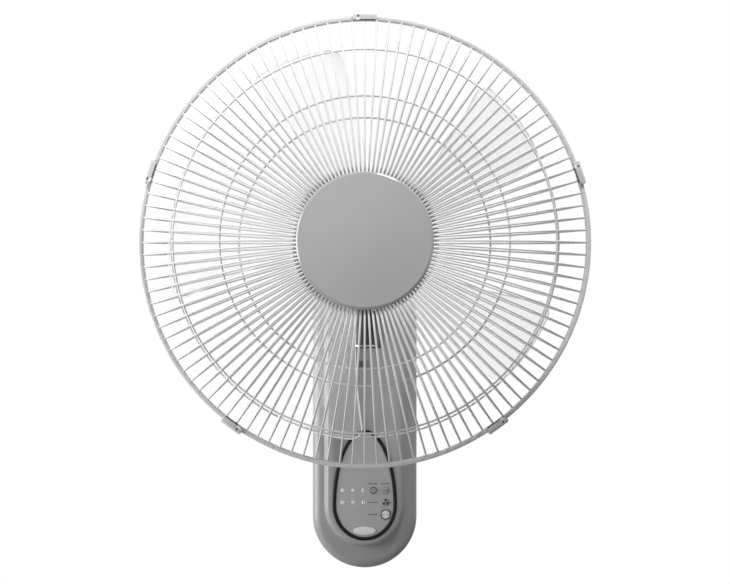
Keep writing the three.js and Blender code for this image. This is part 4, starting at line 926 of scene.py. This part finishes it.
def makePanel():
    back, top = depths("panel_face")
    inset = panel["trim"] + panel["gap"]
    rings = [across(eggOutline(inset), back - panel["plateBack"])]
    rings += [eggRing(inset, -0.5), eggRing(inset + 0.4, -0.08)]
    rings += [eggRing(inset + step) for step in (1.2, 4, 8, 13, 18, 23, 28, 31)]
    face = objectOf("panel_plate", loft(rings))
    deep = (back - 3, top + 3)
    holes = [slab(circle(r + panel["gap"], 32, x, z), *deep) for x, z, r in panel["keys"].values()]
    holes += [slab(circle(panel["lampRadius"] + 0.15, 28, x, z), *deep)
              for z, digits in panel["lampRows"].values() for x in panel["lamps"]]
    wide, up, z = panel["lens"]
    holes.append(slab(ellipse(wide + panel["lensGap"], up + panel["lensGap"], z, 56), *deep))
    carve(face, *holes)
    dress(face, panelPaint, "column", ["panel_face"], 30)
    trimBack, trimTop = depths("panel_trim")
    sunk, inner = trimBack - panel["trimSunk"], panel["trim"]
    profile = soften([(0, sunk, 0), (0, trimTop, 1.3), (inner, trimTop, 1.3), (inner, sunk, 0)], 5)
    loops = [[(x, -(d - crownDrop(x)), z) for x, z in eggOutline(step)] for step, d in profile]
    trim = objectOf("panel_trim_ring", loft(loops, loop=True))
    dress(trim, trimPlastic, "column", ["panel_trim"], 40)
    lens = []
    for step, depth in [(0, -2.2), (0, 0.05), (0.25, 0.35), (0.8, 0.5), (2, 0.62), (3.5, 0.68), (4.7, 0.7)]:
        lens.append([(x, -depth, h) for x, h in ellipse(wide - step, up - step, z, 56)])
    dress(objectOf("lens_cap", onPanel(loft(lens))), lensPlastic, "column", ["receiver_lens"], 40)


def makeLamps():
    for name, (z, digits) in panel["lampRows"].items():
        lights, marks = [], []
        for x, digit in zip(panel["lamps"], digits):
            radius = panel["lampRadius"]
            dome = [(radius, -2), (radius, 0.02), (radius - 0.2, 0.12), (radius - 0.8, 0.16), (0.05, 0.18)]
            lights.append(onPanel(loft([across(circle(r, 28, x, z), d) for r, d in dome])))
            marks.append(onPanel(textShape(digit, panel["digit"] * 1.3, x, z, 0.1, 0.26)))
        guides = objectOf(name + "_lamps", merged(*lights))
        dress(guides, lampPlastic, "column", [name + "_lamp_guide"])
        dress(objectOf(name + "_digits", merged(*marks)), ink, "column")


def keySigns(name, x, z, r):
    # a clock, a double arrow or a three bladed fan; the power key has halves of its own
    low, high = panel["signDepths"]
    if name == "timer":
        long, short = (x, z + 0.9, 2, 0.5), (x + 0.7, z - 0.1, 1.6, 0.5)
        return [ringShape(r * 0.94, 0.55, x, z, low, high), barShape(*long, low, high, math.pi / 2),
                barShape(*short, low, high)]
    if name == "swing":
        shaft = barShape(x, z, 2 * r * 0.62, 0.5, low, high)
        tips = []
        for side in (-1, 1):
            end = x + side * r * 0.82
            outline = [(end, z), (end - side * 1.5, z + 1.1), (end - side * 1.5, z - 1.1)]
            tips.append(slab(outline if side > 0 else outline[::-1], low, high))
        return [shaft, *tips]
    if name == "speed":
        blades = [wedgeShape(x, z, 0.8, r * 0.94, t, t + 1.15, low, high)
                  for t in (math.pi / 2 - 0.58 + 2 * math.pi * i / 3 for i in range(3))]
        return [*blades, slab(circle(0.45, 16, x, z), low, high)]
    return []


def makeKeys():
    for name, (x, z, r) in panel["keys"].items():
        back, front = depths(name + "_button")
        sink = depths("panel_face")[1]
        proud = front - sink
        # the stem ends where the plain button's does, in front of the switch on the board
        stem, capBack = r * panel["stemShare"], panel["capBack"]
        heel = back - sink + crownDrop(abs(x) + stem)
        rings = [(stem, heel), (stem, capBack), (r, capBack), (r, proud - 0.55), (r - 0.2, proud - 0.25)]
        rings += [(r - 0.55, proud - 0.1), (r * 0.5, proud - 0.05), (0.05, proud - 0.04)]
        cap = loft([across(circle(a, 40, x, z), d) for a, d in rings])
        body = name + "_key"
        dress(objectOf(name + "_cap", onPanel(cap)), keyRubber, body, [name + "_button"], 32)
        signs = keySigns(name, x, z, r)
        if name == "power":
            half = 0.18  # half the bar between the pale halves, as an angle
            pale = [wedgeShape(x, z, 0.05, r * 0.8, t, t + math.pi - 2 * half, 0.9, 1.04, 20)
                    for t in (half, math.pi + half)]
            dress(objectOf("power_halves", onPanel(merged(*pale))), paleInk, body)
            signs = [ringShape(r * 0.98, 0.75, x, z, 0.75, 1.08, 56)]
        dress(objectOf(name + "_sign", onPanel(merged(*signs))), ink, body)


def makeLabels():
    # rows of short dashes stand for the small captions beside the keys
    dashes = []
    for x, z, long in panel["labels"]:
        left = x - long / 2
        for width in panel["dashes"]:
            dashes.append(barShape(left + width / 2, z, width, panel["dashWide"], -0.1, 0.05))
            left += width + panel["dashGap"]
    dress(objectOf("captions", onPanel(merged(*dashes))), fadedInk, "column")


makePanel()
makeLamps()
makeKeys()
makeLabels()
print("panel made")


# motor: a front cover with a flange for the guard, and a domed rear cover with cooling slots
motor = {
    "wall": 2.2,
    "edge": 6,
    "bossRadius": 20.4,
    "bossBore": 16,
    "bossLength": 12,
    "faceThick": 2.5,
    "vents": 8,
    "ventReach": (20, 34),
    "ventHalf": 1.8,
    "power": 0.75,     # how full the dome is
    "drain": 2.3,
}


def makeMotorCovers():
    back, front = depths("motor_front_cover")
    outer, wall, edge = halfWidth("motor_front_cover"), motor["wall"], motor["edge"]
    face = front - motor["bossLength"]
    inside, boss, bore = face - motor["faceThick"], motor["bossRadius"], motor["bossBore"]
    profile = soften([
        (outer - 0.7, back, 0), (outer, back + 0.7, 0), (outer, face, edge), (boss, face, 2),
        (boss, front, 1), (bore, front, 0.8), (bore, inside, 0.4), (outer - wall, inside, edge - wall),
        (outer - wall, back, 0)], 7)
    cap = objectOf("motor_cap", lathe(profile, 128, loop=True))
    dress(cap, casing, "head", ["motor_front_cover"], 35)
    back, front = depths("motor_rear_cover")
    length = front - back

    def dome(radius, depth, steps=22):
        turns, power = [math.pi / 2 * k / steps for k in range(steps + 1)], motor["power"]
        arc = [(radius * math.sin(t) ** power, front - depth * math.cos(t) ** power) for t in turns]
        return [(max(r, 0.03), d) for r, d in arc]

    shell = dome(outer, length) + list(reversed(dome(outer - wall, length - wall)))
    cover = objectOf("motor_bowl", lathe(shell, 128, loop=True))
    near, far = motor["ventReach"]
    vents = []
    for i in range(motor["vents"]):
        half = motor["ventHalf"]
        outline = soften([(near, -half, half), (far, -half, half), (far, half, half), (near, half, half)], 6)
        slot = slab([(x, hubHeight + z) for x, z in outline], back - 3, back + 16)
        vents.append(aroundHub(slot, (i + 0.5) * 2 * math.pi / motor["vents"]))
    screwHole = slab(circle(motor["drain"], 24, 0, hubHeight), back - 2, back + 6)
    carve(cover, *vents, screwHole)
    dress(cover, casing, "head", ["motor_rear_cover"], 35)


makeMotorCovers()


# neck and swing drive: the arm, the motor that swings the head, and its crank and link
def makeNeck():
    refine("neck_arm", neckPlastic, "neck", 1.3, 3, 50)
    low, high = span("swing_motor_cover")[2]
    radius = halfWidth("swing_motor_cover")
    depth = sum(depths("swing_motor_cover")) / 2
    inside, floor = radius - motor["wall"], low + motor["wall"]
    profile = soften([(inside, high, 0.4), (radius, high, 0.6), (radius, low, 2.6), (0.05, low, 0),
                      (0.05, floor, 0), (inside, floor, 1)], 6)
    cup = objectOf("swing_motor_cup", upright(profile, 0, depth, 96, loop=True))
    dress(cup, neckPlastic, "neck", ["swing_motor_cover"], 40)


makeNeck()
refine("swivel_saddle", neckPlastic, "head", 0.7, 2, 50)
refine("tilt_bracket", zinc, "column", 0.35)
refine("tilt_bolt", steel, "column", 0.3)
refine("tilt_nut", steel, "column", 0.3)
refine("swing_crank", lampPlastic, "crank", 0.3)
refine("swing_link", zinc, "link", 0.25)
refine("guard_nut", darkCasing, "head", 0.5, 2, 35)
refine("rear_cover_screw", zinc, "head", 0.3)
spinnerBack, spinnerFront = depths("spinner_nut")
spinnerOuter = halfWidth("spinner_nut")
spinner = soften([
    (4.4, spinnerBack, 0.3), (spinnerOuter, spinnerBack, 0.6), (spinnerOuter - 1, spinnerFront - 4, 1.5),
    (spinnerOuter - 5, spinnerFront, 2), (0.03, spinnerFront, 0), (0.03, spinnerFront - 3.4, 0),
    (4.4, spinnerFront - 3.4, 0.3)], 5)
spinnerCap = objectOf("spinner", lathe(spinner, 64, loop=True))
dress(spinnerCap, darkCasing, "rotor", ["spinner_nut"], 40)
shaftBack, shaftFront = depths("motor_shaft")
spindle = soften([(0.03, shaftBack, 0), (4, shaftBack, 0.5), (4, shaftFront, 0.5), (0.03, shaftFront, 0)], 4)
shaft = carve(objectOf("spindle", lathe(spindle, 48)),
              crossSlab([(a + 270.8, b + hubHeight) for a, b in circle(1.8, 20)], -6, 6))
dress(shaft, steel, "rotor", ["motor_shaft"], 40)
print("motor and neck made")

# what stays as the frame has it takes its finish here
plainNodes = {
    "circuit_board": boardGreen, "run_capacitor": blackPlastic, "terminal_block": lampPlastic,
    "swivel_bush": lampPlastic, "swing_motor": zinc, "swivel_clip": steel, "front_end_bell": castMetal,
    "rear_end_bell": castMetal, "front_bearing": steel, "rear_bearing": steel, "stator_core": zinc,
    "stator_winding": copper, "rotor_core": zinc, "drive_pin": steel,
}
for node, material in plainNodes.items():
    made = frame["nodes"][node]
    made.data.materials.clear()
    made.data.materials.append(material)
print("inner pieces finished")


# camera, lamps and the pale studio
view = {"height": 0.1375, "distance": 2.67, "lens": 117.4, "across": 0.0003}
camera = bpy.data.cameras.new("camera")
camera.lens = view["lens"]
camera.sensor_width = 36
stand = bpy.data.objects.new("camera", camera)
stand.location = (view["across"], -view["distance"], view["height"])
stand.rotation_euler = (math.pi / 2, 0, 0)
bpy.context.scene.collection.objects.link(stand)
bpy.context.scene.camera = stand

lamps = {
    "key": {"at": (0.75, -1.2, 2.35), "size": 0.7, "power": 68},
    "left": {"at": (-2.3, -0.75, 0.2), "size": 2.2, "power": 92},
    "fill": {"at": (0.2, -2.6, 0.4), "size": 2.4, "power": 5},
    "back": {"at": (0.4, 1.9, 1.6), "size": 1.8, "power": 22},
}
aim = Vector((0, -0.15, 0.13))
for name, settings in lamps.items():
    light = bpy.data.lights.new(name, "AREA")
    light.shape = "DISK"
    light.size = settings["size"]
    light.energy = settings["power"]
    lamp = bpy.data.objects.new(name, light)
    lamp.location = settings["at"]
    lamp.rotation_euler = (aim - Vector(settings["at"])).to_track_quat("-Z", "Y").to_euler()
    bpy.context.scene.collection.objects.link(lamp)

studio = {
    "ambient": 0.13,
    "floor": -0.45,
    "reach": 2.2,
    "fadeFrom": 0.5,
    "floorSeen": 0.86,    # the floor's shade to the camera, and to the light that it sends up
    "floorBounce": 0.25,
    "floorSides": 96,
}

# rays that are seen directly, mirrored or through glass meet plain white
world = bpy.data.worlds.new("studio")
world.use_nodes = True
bpy.context.scene.world = world
worldNodes, worldLink = world.node_tree.nodes, world.node_tree.links.new
worldPath = worldNodes.new("ShaderNodeLightPath")
seen = worldPath.outputs["Is Camera Ray"]
for ray in ("Is Glossy Ray", "Is Transmission Ray"):
    either = worldNodes.new("ShaderNodeMath")
    either.operation = "MAXIMUM"
    worldLink(seen, either.inputs[0])
    worldLink(worldPath.outputs[ray], either.inputs[1])
    seen = either.outputs[0]
level = worldNodes.new("ShaderNodeMapRange")
level.inputs["To Min"].default_value = studio["ambient"]
level.inputs["To Max"].default_value = 1
worldLink(seen, level.inputs["Value"])
worldNodes["Background"].inputs["Color"].default_value = (1, 1, 1, 1)
worldLink(level.outputs["Result"], worldNodes["Background"].inputs["Strength"])

# the floor keeps the fan's shadow and turns white away from it
floorMaterial = bpy.data.materials.new("pale_floor")
floorMaterial.use_nodes = True
floorNodes, floorLink = floorMaterial.node_tree.nodes, floorMaterial.node_tree.links.new
floorShader = floorNodes["Principled BSDF"]
floorShader.inputs["Roughness"].default_value = 0.8
floorPath = floorNodes.new("ShaderNodeLightPath")
floorShade = floorNodes.new("ShaderNodeMapRange")
floorShade.inputs["To Min"].default_value = studio["floorBounce"]
floorShade.inputs["To Max"].default_value = studio["floorSeen"]
floorLink(floorPath.outputs["Is Camera Ray"], floorShade.inputs["Value"])
floorLink(floorShade.outputs["Result"], floorShader.inputs["Base Color"])
place = floorNodes.new("ShaderNodeTexCoord")
away = floorNodes.new("ShaderNodeVectorMath")
away.operation = "LENGTH"
floorLink(place.outputs["Object"], away.inputs[0])
fade = floorNodes.new("ShaderNodeMapRange")
fade.inputs["From Min"].default_value = studio["fadeFrom"]
fade.inputs["From Max"].default_value = studio["reach"] - 0.3
floorLink(away.outputs["Value"], fade.inputs["Value"])
fadeSeen = floorNodes.new("ShaderNodeMath")
fadeSeen.operation = "MULTIPLY"
floorLink(fade.outputs["Result"], fadeSeen.inputs[0])
floorLink(floorPath.outputs["Is Camera Ray"], fadeSeen.inputs[1])
whiteGlow = floorNodes.new("ShaderNodeEmission")
whiteGlow.inputs["Color"].default_value = (1, 1, 1, 1)
blend = floorNodes.new("ShaderNodeMixShader")
floorLink(fadeSeen.outputs[0], blend.inputs["Fac"])
floorLink(floorShader.outputs[0], blend.inputs[1])
floorLink(whiteGlow.outputs[0], blend.inputs[2])
floorLink(blend.outputs[0], floorNodes["Material Output"].inputs["Surface"])
outlines = [circle(studio["reach"] / mm * part, studio["floorSides"]) for part in (1, 0.5, 0.01)]
floorRings = [[(x, y, studio["floor"] / mm) for x, y in outline] for outline in outlines]
floorPoints, floorFaces = loft(floorRings)
floorDisc = objectOf("floor", (floorPoints, floorFaces[:-2] + floorFaces[-1:]))
floorDisc.data.materials.append(floorMaterial)
bpy.context.scene.view_settings.view_transform = "Standard"
print("studio lit")
